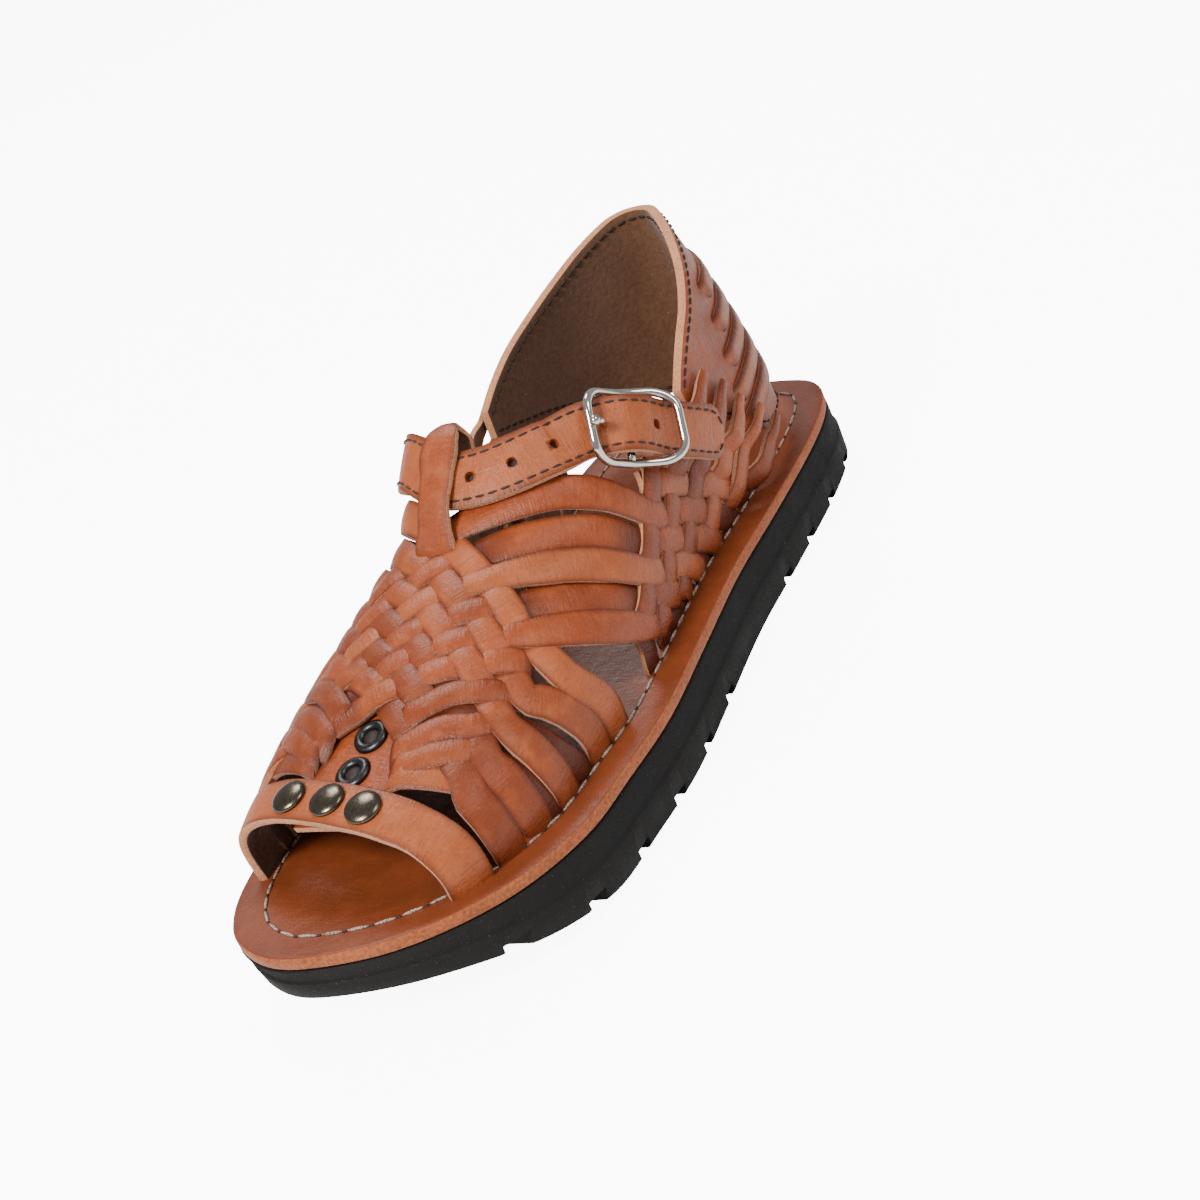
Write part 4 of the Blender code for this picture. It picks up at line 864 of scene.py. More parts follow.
@lru_cache(maxsize=None)
def ankle_line():
    """Closely spaced (distance from the buckle, station, girth) along the ankle strap."""
    points = [Vector((row[0], row[1], 0)) for row in ANKLE_LINE]
    samples = [(place.x, place.y) for place in curve_line(points, LINE_STEPS)]
    distances = running_lengths([last_point(*place) for place in samples])
    zero = distances[BUCKLE_ROW * LINE_STEPS]
    return tuple((d - zero, *place) for d, place in zip(distances, samples))


def ankle_place(distance):
    """Station and girth on the ankle strap's line at a distance from the buckle."""
    line = ankle_line()
    i = max([n for n in range(len(line) - 1) if line[n][0] <= distance] or [0])
    low, high = line[i], line[i + 1]
    share = (distance - low[0]) / (high[0] - low[0])
    return blend(low[1], high[1], share), blend(low[2], high[2], share)


@lru_cache(maxsize=None)
def buckle_axes(distance):
    """Point on the last, direction along the strap, across it and outward."""
    centre = last_point(*ankle_place(distance))
    normal = last_normal(*ankle_place(distance))
    ahead = last_point(*ankle_place(distance + 3 * MM))
    along = ahead - last_point(*ankle_place(distance - 3 * MM))
    along = (along - normal * along.dot(normal)).normalized()
    across = normal.cross(along).normalized()
    return centre, along, across, normal


def at_buckle(x, y, height):
    """Place near the buckle: along the strap, across it and over the last, in millimetres."""
    centre, _, across, normal = buckle_axes(x * MM)
    return centre + across * y * MM + normal * height * MM


@lru_cache(maxsize=None)
def frame_line():
    """Both ends and the middle of the buckle's frame, on its centre line."""
    return tuple(at_buckle(x, 0, bow(x)) for x in (-FRAME_REACH, 0, FRAME_REACH))


def on_frame(x, y):
    """Place on the buckle's frame, which bows along the strap and is straight across it."""
    front, middle, rear = frame_line()
    share = x / FRAME_REACH
    rise = (front + rear) / 2 - middle
    across = buckle_axes(0.0)[2]
    return middle + (rear - front) / 2 * share + rise * abs(share) ** BOW_POWER + across * y * MM


def bow(x):
    """Height of the buckle's frame over the last at a distance along the strap."""
    end = BOW_FRONT if x < 0 else BOW_REAR
    return BAR_HEIGHT + (end - BAR_HEIGHT) * (abs(x) / FRAME_REACH) ** BOW_POWER


@lru_cache(maxsize=None)
def frame_shift():
    """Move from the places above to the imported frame, read from the insole's box."""
    low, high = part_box("insole")
    ring = sole_outline(2)
    xs = [point.x for point in ring]
    ys = [point.y for point in ring]
    middle = (low + high) / 2
    return Vector((middle.x - (min(xs) + max(xs)) / 2, middle.y - (min(ys) + max(ys)) / 2, 0))


def fill(tree, target, values):
    """Fill or link the inputs of a node."""
    for key, value in values.items():
        if isinstance(value, bpy.types.NodeSocket):
            tree.links.new(value, target.inputs[key])
        else:
            target.inputs[key].default_value = value


def node(tree, kind, values=None, **settings):
    """Add a node, set its fields and fill or link its inputs."""
    made = tree.nodes.new(kind)
    for key, value in settings.items():
        setattr(made, key, value)
    fill(tree, made, values or {})
    return made


def mixed(tree, share, a, b):
    """Colour mix of two colours or sockets."""
    return node(tree, "ShaderNodeMix", {0: share, 6: a, 7: b}, data_type="RGBA").outputs[2]


def maths(tree, operation, a, b=0.0):
    """Result of a sum on two values or sockets."""
    return node(tree, "ShaderNodeMath", {0: a, 1: b}, operation=operation).outputs[0]


def remap(tree, value, low, high, to_low=0.0, to_high=1.0):
    """Stretch a value from one range to another, held at its ends."""
    fields = {"Value": value, "From Min": low, "From Max": high}
    fields.update({"To Min": to_low, "To Max": to_high})
    return node(tree, "ShaderNodeMapRange", fields).outputs["Result"]


def speckle(tree, vector, scale, detail=3.0, roughness=0.55):
    """Soft noise at a scale per metre."""
    fields = {"Vector": vector, "Scale": scale, "Detail": detail, "Roughness": roughness}
    return node(tree, "ShaderNodeTexNoise", fields).outputs["Fac"]


def stretched(tree, vector, scale):
    """Vector scaled by a different amount on each axis."""
    return node(tree, "ShaderNodeMapping", {"Vector": vector, "Scale": scale}).outputs["Vector"]


def bumped(tree, height, strength, distance, before=None):
    """Normal bent by a height."""
    fields = {"Height": height, "Strength": strength, "Distance": distance}
    if before is not None:
        fields["Normal"] = before
    return node(tree, "ShaderNodeBump", fields).outputs["Normal"]


def new_group(name, inputs, outputs):
    """Empty node group with named sockets, and its two ends."""
    group = bpy.data.node_groups.new(name, "ShaderNodeTree")
    for way, labels in (("INPUT", inputs), ("OUTPUT", outputs)):
        for label in labels:
            kind = "NodeSocket" + SOCKET_KINDS.get(label, "Float")
            group.interface.new_socket(label, in_out=way, socket_type=kind)
    return group, node(group, "NodeGroupInput").outputs, node(group, "NodeGroupOutput").inputs


def leather_group():
    """Mottled colour, roughness and grain of waxed leather, darkened by the edge layer with rubbed
    edges and painted shade.
    """
    found = bpy.data.node_groups.get("waxed_leather")
    if found:
        return found
    group, given, result = new_group(
        "waxed_leather",
        ("Place", "Strap", "Tone", "Edge", "Colour", "Deep", "Pale", "Grain", "Crease"),
        ("Colour", "Roughness", "Normal"),
    )
    place, strap, tone = given["Place"], given["Strap"], given["Tone"]
    deep, pale, crease = given["Deep"], given["Pale"], given["Crease"]
    cloud = speckle(group, place, 42, 4)
    patch = speckle(group, place, 170, 4, 0.6)
    pores = speckle(group, place, 1500, 2, 0.6)
    wrinkle = speckle(group, stretched(group, strap, (1.0, 0.16, 1.0)), 1100, 3, 0.6)
    fibre = speckle(group, stretched(group, strap, (0.10, 1.0, 1.0)), 1300, 2, 0.6)
    # Edge layer darkens toward deep: rubbed strap edges, and painted shade along edges, under
    # crossings and between the heel bars.
    rubbed_and_shaded = maths(group, "MULTIPLY", remap(group, given["Edge"], 0.18, 0.92), 0.92)
    spots = maths(group, "MULTIPLY", remap(group, pores, 0.52, 0.70), 0.22)
    depth = maths(group, "MULTIPLY", crease, 0.45)
    lines = maths(group, "MULTIPLY", remap(group, wrinkle, 0.55, 0.72), depth)
    colour = given["Colour"]
    for share, over in (
        (remap(group, cloud, 0.36, 0.60, 0.34, 0.0), deep),
        (remap(group, patch, 0.50, 0.78, 0.0, 0.26), pale),
        (remap(group, tone, 0.0, -1.0, 0.0, 0.42), deep),
        (remap(group, tone, 0.0, 1.0, 0.0, 0.30), pale),
        (rubbed_and_shaded, deep),
        (spots, deep),
        (lines, deep),
    ):
        colour = mixed(group, share, colour, over)
    group.links.new(colour, result["Colour"])
    dull = maths(group, "MULTIPLY", spots, 0.4)
    gloss = maths(group, "ADD", remap(group, patch, 0.3, 0.7, 0.30, 0.46), dull)
    group.links.new(gloss, result["Roughness"])
    grooves = maths(group, "ADD", wrinkle, maths(group, "MULTIPLY", fibre, 0.35))
    normal = bumped(group, pores, given["Grain"], 0.00022)
    normal = bumped(group, grooves, crease, 0.0005, normal)
    normal = bumped(group, speckle(group, place, 210, 3), 0.30, 0.0009, normal)
    group.links.new(normal, result["Normal"])
    return group


def fuzz_group():
    """Fibres of a raw cut edge or of suede."""
    found = bpy.data.node_groups.get("raw_fibres")
    if found:
        return found
    group, given, result = new_group(
        "raw_fibres", ("Place", "Colour", "Deep", "Size"), ("Colour", "Normal")
    )
    place, deep = given["Place"], given["Deep"]
    fields = {"Vector": place, "Scale": given["Size"], "Detail": 4.0}
    fine = node(group, "ShaderNodeTexNoise", fields).outputs["Fac"]
    cloud = speckle(group, place, 75, 4, 0.62)
    share = maths(group, "MULTIPLY", remap(group, fine, 0.40, 0.66), 0.5)
    colour = mixed(group, share, given["Colour"], deep)
    colour = mixed(group, remap(group, cloud, 0.35, 0.75, 0.0, 0.30), colour, deep)
    group.links.new(colour, result["Colour"])
    group.links.new(bumped(group, fine, 0.7, 0.0005), result["Normal"])
    return group


def blank_material(name):
    """Material with an empty Principled shader, and its tree."""
    made = bpy.data.materials.new(name)
    made.use_nodes = True
    tree = made.node_tree
    return made, tree, tree.nodes["Principled BSDF"]


def rgba(colour):
    """Colour property as four numbers."""
    return (colour[0], colour[1], colour[2], 1.0)


def object_place(tree):
    """Place on the piece."""
    return node(tree, "ShaderNodeTexCoord").outputs["Object"]


def layer_value(tree, name):
    """Value of a layer of the mesh."""
    return node(tree, "ShaderNodeAttribute", attribute_name=name).outputs["Fac"]


def leather(name, colour, deep, pale, grain=0.5, crease=0.6, coat=0.04):
    """Waxed leather that reads the strap's own map, tone and edge shade: rubbed edges and painted
    shade.
    """
    found = bpy.data.materials.get(name)
    if found:
        return found
    made, tree, shader = blank_material(name)
    fields = {
        "Place": object_place(tree),
        "Strap": node(tree, "ShaderNodeUVMap", uv_map="strap_map").outputs["UV"],
        "Tone": layer_value(tree, "strap_tone"),
        "Edge": layer_value(tree, "strap_edge_shade"),
        "Colour": rgba(colour),
        "Deep": rgba(deep),
        "Pale": rgba(pale),
        "Grain": grain,
        "Crease": crease,
    }
    surface = node(tree, "ShaderNodeGroup", fields, node_tree=leather_group()).outputs
    fill(tree, shader, {
        "Base Color": surface["Colour"],
        "Roughness": surface["Roughness"],
        "Normal": surface["Normal"],
        "Coat Weight": coat,
        "Coat Roughness": 0.38,
        "Specular IOR Level": 0.27,
    })
    return made


def fibres(name, colour, deep, size, sheen):
    """Raw cut edge or suede."""
    found = bpy.data.materials.get(name)
    if found:
        return found
    made, tree, shader = blank_material(name)
    fields = {
        "Place": object_place(tree),
        "Colour": rgba(colour),
        "Deep": rgba(deep),
        "Size": size,
    }
    surface = node(tree, "ShaderNodeGroup", fields, node_tree=fuzz_group()).outputs
    fill(tree, shader, {
        "Base Color": surface["Colour"],
        "Normal": surface["Normal"],
        "Roughness": 0.9,
        "Sheen Weight": sheen,
        "Specular IOR Level": 0.2,
    })
    return made


def suede(settings):
    """Flesh side of every leather."""
    return fibres("tan_suede", settings.suede, settings.suede_deep, 620, 0.25)


def strap_materials(settings):
    """Grain side, flesh side and cut edge of the tan leather."""
    return [
        leather("tan_leather", settings.tan, settings.tan_deep, settings.tan_pale),
        suede(settings),
        fibres("tan_cut_edge", settings.cut_edge, settings.tan, 1500, 0.15),
    ]


def footbed_materials(settings):
    """Grain side, flesh side and cut edge of the footbed."""
    deep = settings.footbed_deep
    return [
        leather("footbed_leather", settings.footbed, deep, settings.tan, 0.25, 0.16, 0.10),
        suede(settings),
        fibres("footbed_edge", settings.footbed_edge, deep, 900, 0.1),
    ]


def thread_material(name, colour, deep):
    """Waxed thread with a fine twist."""
    found = bpy.data.materials.get(name)
    if found:
        return found
    made, tree, shader = blank_material(name)
    twist = speckle(tree, object_place(tree), 2600, 2)
    fill(tree, shader, {
        "Base Color": mixed(tree, remap(tree, twist, 0.42, 0.62), rgba(deep), rgba(colour)),
        "Normal": bumped(tree, twist, 0.6, 0.0003),
        "Roughness": 0.62,
    })
    return made


def dark_thread(name, settings):
    """Dark thread, for seams and for the shade in holes."""
    return thread_material(name, settings.dark_thread, settings.dark_thread)


def rubber_material(settings):
    """Matte black rubber with dust and faint scuffs."""
    made, tree, shader = blank_material("black_rubber")
    place = object_place(tree)
    dust = speckle(tree, place, 90, 5, 0.65)
    grit = speckle(tree, place, 1700, 3, 0.6)
    pale = tuple(min(1.0, part * 2.5 + 0.002) for part in settings.rubber)
    dusty = remap(tree, dust, 0.45, 0.75, 0.0, 0.45)
    specks = maths(tree, "MULTIPLY", remap(tree, grit, 0.66, 0.74), 0.35)
    colour = mixed(tree, dusty, rgba(settings.rubber), rgba(pale))
    normal = bumped(tree, grit, 0.35, 0.0004)
    fill(tree, shader, {
        "Base Color": mixed(tree, specks, colour, (0.20, 0.18, 0.17, 1)),
        "Roughness": remap(tree, dust, 0.3, 0.7, 0.62, 0.82),
        "Normal": bumped(tree, speckle(tree, place, 260, 4), 0.3, 0.0008, normal),
        "Specular IOR Level": 0.22,
    })
    return made


def metal_material(name):
    """Plated metal with fine scratches and tarnish."""
    colour, deep, rough, wear = METALS[name]
    made, tree, shader = blank_material(name)
    place = object_place(tree)
    cloud = speckle(tree, place, 380, 4, 0.6)
    scratch = speckle(tree, stretched(tree, place, (1.0, 0.12, 1.0)), 2600, 2)
    share = remap(tree, cloud, 0.42, 0.68, 0.0, wear)
    fill(tree, shader, {
        "Base Color": mixed(tree, share, rgba(colour), rgba(deep)),
        "Roughness": remap(tree, scratch, 0.3, 0.7, rough * 0.75, rough * 1.35),
        "Normal": bumped(tree, scratch, 0.08, 0.0002),
        "Metallic": 1.0,
    })
    return made


def new_sheet():
    """Empty shape of a leather piece, with its map, tone and edge layers; the edge layer carries
    painted shade and rubbed edges.
    """
    shape = bmesh.new()
    uv = shape.loops.layers.uv.new("strap_map")
    tone = shape.verts.layers.float.new("strap_tone")
    edge = shape.verts.layers.float.new("strap_edge_shade")
    return shape, (uv, tone, edge)


def lay_sheet(shape, layers, columns, rows, place, tone=0.0):
    """Add a grid whose (along, across) shares in 0..1 and -1..1 are put in place."""
    uv, tone_layer, edge_shade_layer = layers
    made = bmesh.ops.create_grid(shape, x_segments=columns, y_segments=rows, size=1.0)["verts"]
    flat = {}
    for vert in made:
        share = (vert.co.x + 1) / 2
        across = vert.co.y
        point, mapped, edge = place(share, across)
        flat[vert] = mapped
        vert.co = point
        vert[tone_layer] = tone
        vert[edge_shade_layer] = edge
    faces = {face for vert in made for face in vert.link_faces}
    for face in faces:
        face.smooth = True
        for loop in face.loops:
            loop[uv].uv = flat[loop.vert]
    return made


def add_piece(name, shape, materials, stands_for=(), home="root"):
    """Finished mesh of a piece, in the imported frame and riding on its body."""
    mesh = bpy.data.meshes.new(name)
    shape.to_mesh(mesh)
    shape.free()
    mesh.transform(Matrix.Translation(frame_shift()))
    for finish in materials:
        mesh.materials.append(finish)
    piece = bpy.data.objects.new(name, mesh)
    bpy.context.scene.collection.objects.link(piece)
    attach(piece, home)
    if stands_for:
        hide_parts(*stands_for)
    return piece


def thicken(piece, thickness, bevel):
    """Give a sheet its thickness inwards and soften its cut edges."""
    wall = piece.modifiers.new("Wall", "SOLIDIFY")
    wall.thickness = thickness
    wall.offset = -1.0
    wall.material_offset = 1
    wall.material_offset_rim = 2
    edge = piece.modifiers.new("Soft edge", "BEVEL")
    edge.width = bevel
    edge.segments = 2
    edge.limit_method = "ANGLE"
    edge.angle_limit = math.radians(EDGE_ANGLE)


def strap_samples(knots, step):
    """Closely spaced places along a strap, its raised stretches held level."""
    samples = []
    for i, (a, b) in enumerate(zip(knots, knots[1:])):
        span = (last_point(b.x, b.y) - last_point(a.x, a.y)).length
        count = max(3, math.ceil(span / step))
        low = 0.30 if a.z > LAYER_RISE * 0.6 else 0.0
        top = 0.70 if b.z > LAYER_RISE * 0.6 else 1.0
        for k in range(count):
            t = k / count
            place = curve_point(knots, i, t)
            layer = blend(a.z, b.z, smooth_step((t - low) / (top - low)))
            samples.append(Vector((place.x, place.y, layer, blend(a.w, b.w, t))))
    samples.append(knots[-1].copy())
    return samples


def strap_frames(samples):
    """Centre, direction, left side and outward direction at each sample on the last."""
    centres = []
    normals = []
    for place in samples:
        normal = last_normal(place.x, place.y if abs(place.y) > 0.001 else 0.001)
        centres.append(last_point(place.x, place.y) + normal * place.z)
        normals.append(normal)
    return frames_of(centres, normals)


def frames_of(centres, normals):
    """Centre, direction, left side and outward direction along a line."""
    frames = []
    for i, centre in enumerate(centres):
        ahead = centres[min(i + 1, len(centres) - 1)]
        behind = centres[max(i - 1, 0)]
        along = (ahead - behind).normalized()
        left = normals[i].cross(along).normalized()
        frames.append((centre, along, left, along.cross(left).normalized()))
    return frames


def lay_strap(
    shape, layers, frames, widths, thickness, tone, seed,
    crown=CROWN, skew=0.0, rows=STRAP_COLUMNS, dips=None,
):
    """Lay one strap as a crowned sheet whose outer face stands a thickness over its frames."""
    run = running_lengths([frame[0] for frame in frames])
    count = len(frames) - 1

    def place(share, across):
        i = min(int(share * count), count - 1)
        t = share * count - i
        distance = blend(run[i], run[i + 1], t)
        centre, along, left, up = (a.lerp(b, t) for a, b in zip(frames[i], frames[i + 1]))
        half = blend(widths[i], widths[i + 1], t) / 2
        waver = 1 + EDGE_WAVER * noise.noise(Vector((distance * 90, seed * 7.3, across * 2.0)))
        lift = thickness - crown * across * across
        lift += FACE_WAVER * noise.noise(Vector((distance * 160, seed * 3.1, across)))
        point = centre + left * (across * half * waver) + up * lift
        if skew:
            point += along * (skew * across * max(0.0, 1 - distance / SKEW_REACH))
        dip = blend(dips[i], dips[i + 1], t) if dips else 0.0
        # The third value is painted shade, partly rubbed edge: darker toward the strap's edges and
        # where it dips under others.
        return point, (distance + seed * 0.31, across * half), max(abs(across) ** 4 * 0.8, dip)

    lay_sheet(shape, layers, count, rows, place, tone)


def stitch_line(shape, points, normals, stitch, pitch, thread, start=0.0, sunk=0.25):
    """Lay stitches along a line of points."""
    run = running_lengths(points)
    count = max(1, int((run[-1] - start) / pitch))
    for n in range(count):
        ends = []
        for distance in (start + n * pitch, start + n * pitch + stitch):
            distance = max(0.0, min(distance, run[-1]))
            i = min(bisect_right(run, distance) - 1, len(run) - 2)
            t = (distance - run[i]) / max(run[i + 1] - run[i], 1e-9)
            ends.append((points[i].lerp(points[i + 1], t), normals[i]))
        (a, up), (b, _) = ends
        along = b - a
        if along.length < stitch * 0.4:
            continue
        along.normalize()
        left = up.cross(along).normalized()
        up = along.cross(left)
        middle = (a + b) / 2 + up * thread * (0.5 - sunk)
        turn = Matrix((along, left, up)).transposed().to_4x4()
        size = Matrix.Diagonal(((b - a).length / 2, thread / 2, thread / 2, 1))
        place = Matrix.Translation(middle) @ turn @ size
        bmesh.ops.create_uvsphere(shape, u_segments=8, v_segments=6, radius=1.0, matrix=place)


def smooth_faces(shape):
    """Shade every face of a shape smooth."""
    for face in shape.faces:
        face.smooth = True


def row_station(share):
    """Station of a share of the sole's rows, which stand closer at both ends."""
    return (1 - math.cos(math.pi * share)) / 2


def sole_edge(row, rows, side, offset):
    """Point of the sole's plan at a row, moved outward."""
    station = row_station(row / rows)
    if row in (0, rows):
        x = (HEEL_END if row == 0 else TOE_END) * BALL_WIDTH
        return Vector((x, y_of(station) + (offset if row == 0 else -offset), 0))
    step = 0.4 / rows
    ahead = min(row_station(row / rows + step), 0.99999)
    behind = max(row_station(row / rows - step), 0.00001)
    a = Vector((outline_x(behind, side), y_of(behind)))
    b = Vector((outline_x(ahead, side), y_of(ahead)))
    along = (b - a).normalized()
    out = Vector((-along.y, along.x)) * side
    return Vector((outline_x(station, side) + out.x * offset, y_of(station) + out.y * offset, 0))


def raised(point, height):
    """Point of the sole's plan at a height, with the lift of the toe."""
    station = max(0.0, station_of(point.y))
    point.z = height + spring(station) + thinning(station, height)
    return point


def sole_point(row, rows, across, offset, height):
    """Point of a face of the sole between its medial (-1) and lateral (+1) edges."""
    lateral = sole_edge(row, rows, 1, offset)
    medial = sole_edge(row, rows, -1, offset)
    return raised(medial.lerp(lateral, (across + 1) / 2), height)


def edges_among(verts):
    """Edges that join two of the verts."""
    chosen = set(verts)
    edges = dict.fromkeys(edge for vert in verts for edge in vert.link_edges)
    return [edge for edge in edges if chosen.issuperset(edge.verts)]


def lay_slab(shape, layers, levels):
    """Closed slab on the sole's plan through levels of (outward offset function, height)."""
    rows = SOLE_ROWS
    uv, _, edge_shade_layer = layers
    current = bmesh.ops.create_circle(shape, segments=2 * rows, radius=1.0)["verts"]
    spots = {}
    for k, vert in enumerate(current):
        spots[vert] = (k, 1) if k <= rows else (2 * rows - k, -1)
    for level, (offset, height) in enumerate(levels):
        if level:
            grown = bmesh.ops.extrude_edge_only(shape, edges=edges_among(current))["geom"]
            fresh = [part for part in grown if isinstance(part, bmesh.types.BMVert)]
            for vert in fresh:
                source = min(current, key=lambda old: (old.co - vert.co).length_squared)
                spots[vert] = spots[source]
            current = fresh
        for vert in current:
            row, side = spots[vert]
            vert.co = raised(sole_edge(row, rows, side, offset(row_station(row / rows))), height)
    for offset, height in (levels[0], levels[-1]):
        cap = bmesh.ops.create_grid(shape, x_segments=rows, y_segments=SOLE_COLUMNS, size=1.0)
        for vert in cap["verts"]:
            row = round((vert.co.x + 1) / 2 * rows)
            vert.co = sole_point(row, rows, vert.co.y, offset(row_station(row / rows)), height)
            vert[edge_shade_layer] = 0.0
    bmesh.ops.remove_doubles(shape, verts=shape.verts, dist=2e-5)
    bmesh.ops.recalc_face_normals(shape, faces=shape.faces)
    smooth_faces(shape)
    for face in shape.faces:
        for loop in face.loops:
            loop[uv].uv = (loop.vert.co.y, loop.vert.co.x)


def turn_profile(shape, profile, centre, axis, steps=40):
    """Spin a profile of (radius, height) pairs about an axis and put it in place."""
    part = bmesh.new()
    verts = [part.verts.new((radius, 0, height)) for radius, height in profile]
    edges = [part.edges.new(pair) for pair in zip(verts, verts[1:])]
    if profile[0][0] > 0 and profile[-1][0] > 0:
        edges.append(part.edges.new((verts[-1], verts[0])))
    bmesh.ops.spin(
        part, geom=verts + edges, cent=(0, 0, 0), axis=(0, 0, 1), angle=2 * math.pi,
        steps=steps, use_merge=True,
    )
    bmesh.ops.remove_doubles(part, verts=part.verts, dist=1e-6)
    bmesh.ops.recalc_face_normals(part, faces=part.faces)
    smooth_faces(part)
    mesh = bpy.data.meshes.new("turned")
    part.to_mesh(mesh)
    part.free()
    turn = Vector((0, 0, 1)).rotation_difference(axis).to_matrix().to_4x4()
    mesh.transform(Matrix.Translation(centre) @ turn)
    shape.from_mesh(mesh)
    bpy.data.meshes.remove(mesh)


def lay_wire(shape, points, radius, closed, up):
    """Sweep a round wire along points."""
    count = len(points)
    rings = []
    for i, point in enumerate(points):
        ahead = points[(i + 1) % count] if closed else points[min(i + 1, count - 1)]
        behind = points[i - 1] if closed else points[max(i - 1, 0)]
        along = (ahead - behind).normalized()
        left = up.cross(along).normalized()
        turn = Matrix((left, along.cross(left), along)).transposed()
        ended = not closed and i in (0, count - 1)
        ring = bmesh.ops.create_circle(shape, cap_ends=ended, segments=WIRE_SIDES, radius=radius)
        for vert in ring["verts"]:
            vert.co = point + turn @ vert.co
        rings.append(ring["verts"])
    pairs = list(zip(rings, rings[1:])) + ([(rings[-1], rings[0])] if closed else [])
    for low, high in pairs:
        bmesh.ops.bridge_loops(shape, edges=edges_among(low) + edges_among(high))


def cut_holes(piece, shape):
    """Cut a bmesh of closed cutters out of a piece and keep the result as its mesh."""
    mesh = bpy.data.meshes.new("cutters")
    shape.to_mesh(mesh)
    shape.free()
    mesh.transform(Matrix.Translation(frame_shift()))
    tool = bpy.data.objects.new("cutters", mesh)
    bpy.context.scene.collection.objects.link(tool)
    cut = piece.modifiers.new("Cut", "BOOLEAN")
    cut.operation = "DIFFERENCE"
    cut.solver = "EXACT"
    cut.object = tool
    bpy.context.view_layer.update()
    graph = bpy.context.evaluated_depsgraph_get()
    result = bpy.data.meshes.new_from_object(piece.evaluated_get(graph))
    piece.modifiers.clear()
    piece.data = result
    bpy.data.objects.remove(tool)
    return piece


def colour_field(label, use, default):
    """Colour that a user can change."""
    return bpy.props.FloatVectorProperty(
        name=label, description=use, subtype="COLOR", size=3, default=default, min=0, max=1
    )


class SandalSettings(bpy.types.PropertyGroup):
    """Colours and sizes that a user would change."""

    tan: colour_field("Tan leather", "Colour of the straps", (0.262, 0.051, 0.012))
    # Tan shade also colours the painted shade at strap edges, under crossings and between the heel
    # bars.
    tan_deep: colour_field(
        "Tan shade", "Waxed and rubbed places of the straps", (0.070, 0.011, 0.0025)
    )
    tan_pale: colour_field("Tan light", "Stretched places of the straps", (0.54, 0.160, 0.054))
    footbed: colour_field("Footbed leather", "Colour of the insole", (0.170, 0.038, 0.012))
    footbed_deep: colour_field("Footbed shade", "Worn places of the insole", (0.095, 0.020, 0.006))
    footbed_edge: colour_field("Footbed edge", "Cut edge of the insole", (0.36, 0.100, 0.034))
    suede: colour_field("Flesh side", "Inside of the leather", (0.135, 0.062, 0.030))
    suede_deep: colour_field(
        "Flesh shade", "Dark fibres inside the leather", (0.070, 0.028, 0.013)
    )
    cut_edge: colour_field("Cut edge", "Raw edges of the straps", (0.56, 0.27, 0.14))
    rubber: colour_field("Rubber", "Colour of the outsole", (0.0040, 0.0038, 0.0036))
    pale_thread: colour_field("Saddle thread", "Thread of the insole", (0.50, 0.44, 0.40))
    dark_thread: colour_field("Seam thread", "Thread of the seams", (0.014, 0.005, 0.003))
    edge_round: bpy.props.FloatProperty(
        name="Edge round", description="Rounding of cut leather edges", unit="LENGTH",
        default=0.38 * MM, min=0.05 * MM, max=0.9 * MM,
    )


def flare(station):
    """Outward lean of the rubber's foot, more at the heel, inward at the toe."""
    heel = HEEL_FLARE * max(0.0, 1 - station / FLARE_END)
    toe = TOE_TUCK * smooth_step((station - TOE_TUCK_START) / (1 - TOE_TUCK_START))
    return SOLE_LEAN + heel + toe


def lug_notches():
    """Cutters of the notches between the lugs."""
    shape = bmesh.new()
    stations = []
    for start, count in (REAR_LUGS, FRONT_LUGS):
        stations += [start + LUG_PITCH * n for n in range(count)]
    for station in stations:
        for side in (1, -1):
            x = outline_x(station, side) - side * NOTCH_REACH * 0.32
            place = Vector((x, y_of(station), spring(station) + thinning(station, 0.0)))
            size = Matrix.Diagonal((NOTCH_REACH, NOTCH_WIDTH, NOTCH_HEIGHT, 1))
            turn = Matrix.Rotation(side * LUG_ANGLE, 4, "Z")
            bmesh.ops.create_cube(shape, size=1.0, matrix=Matrix.Translation(place) @ turn @ size)
    for n in (-1, 0, 1):
        x = HEEL_END * BALL_WIDTH + n * BACK_LUG_PITCH
        place = Vector((x, y_of(0) - NOTCH_REACH * 0.12, 0))
        size = Matrix.Diagonal((NOTCH_WIDTH, NOTCH_REACH * 0.7, NOTCH_HEIGHT, 1))
        bmesh.ops.create_cube(shape, size=1.0, matrix=Matrix.Translation(place) @ size)
    return shape


class SANDAL_OT_outsole(bpy.types.Operator):
    """Rubber slab with a stepped side and notched lugs"""

    bl_idname = "sandal.outsole"
    bl_label = "Outsole"

    def execute(self, context):
        """Make the rubber."""
        shape, layers = new_sheet()
        step = OUTSOLE_THICKNESS * STEP_SHARE
        levels = [
            (lambda s: flare(s) - 1.0 * MM, 0.0),
            (flare, 1.0 * MM),
            (lambda s: flare(s) * 0.7 + 0.45 * MM, step - 0.5 * MM),
            (lambda s: flare(s) * 0.7 - 0.35 * MM, step + 0.3 * MM),
            (lambda s: 0.2 * MM, OUTSOLE_THICKNESS - 0.5 * MM),
            (lambda s: -0.4 * MM, OUTSOLE_THICKNESS),
        ]
        lay_slab(shape, layers, levels)
        finish = [rubber_material(context.scene.sandal)]
        piece = add_piece("rubber_sole", shape, finish, ["outsole"])
        cut_holes(piece, lug_notches())
        return {"FINISHED"}


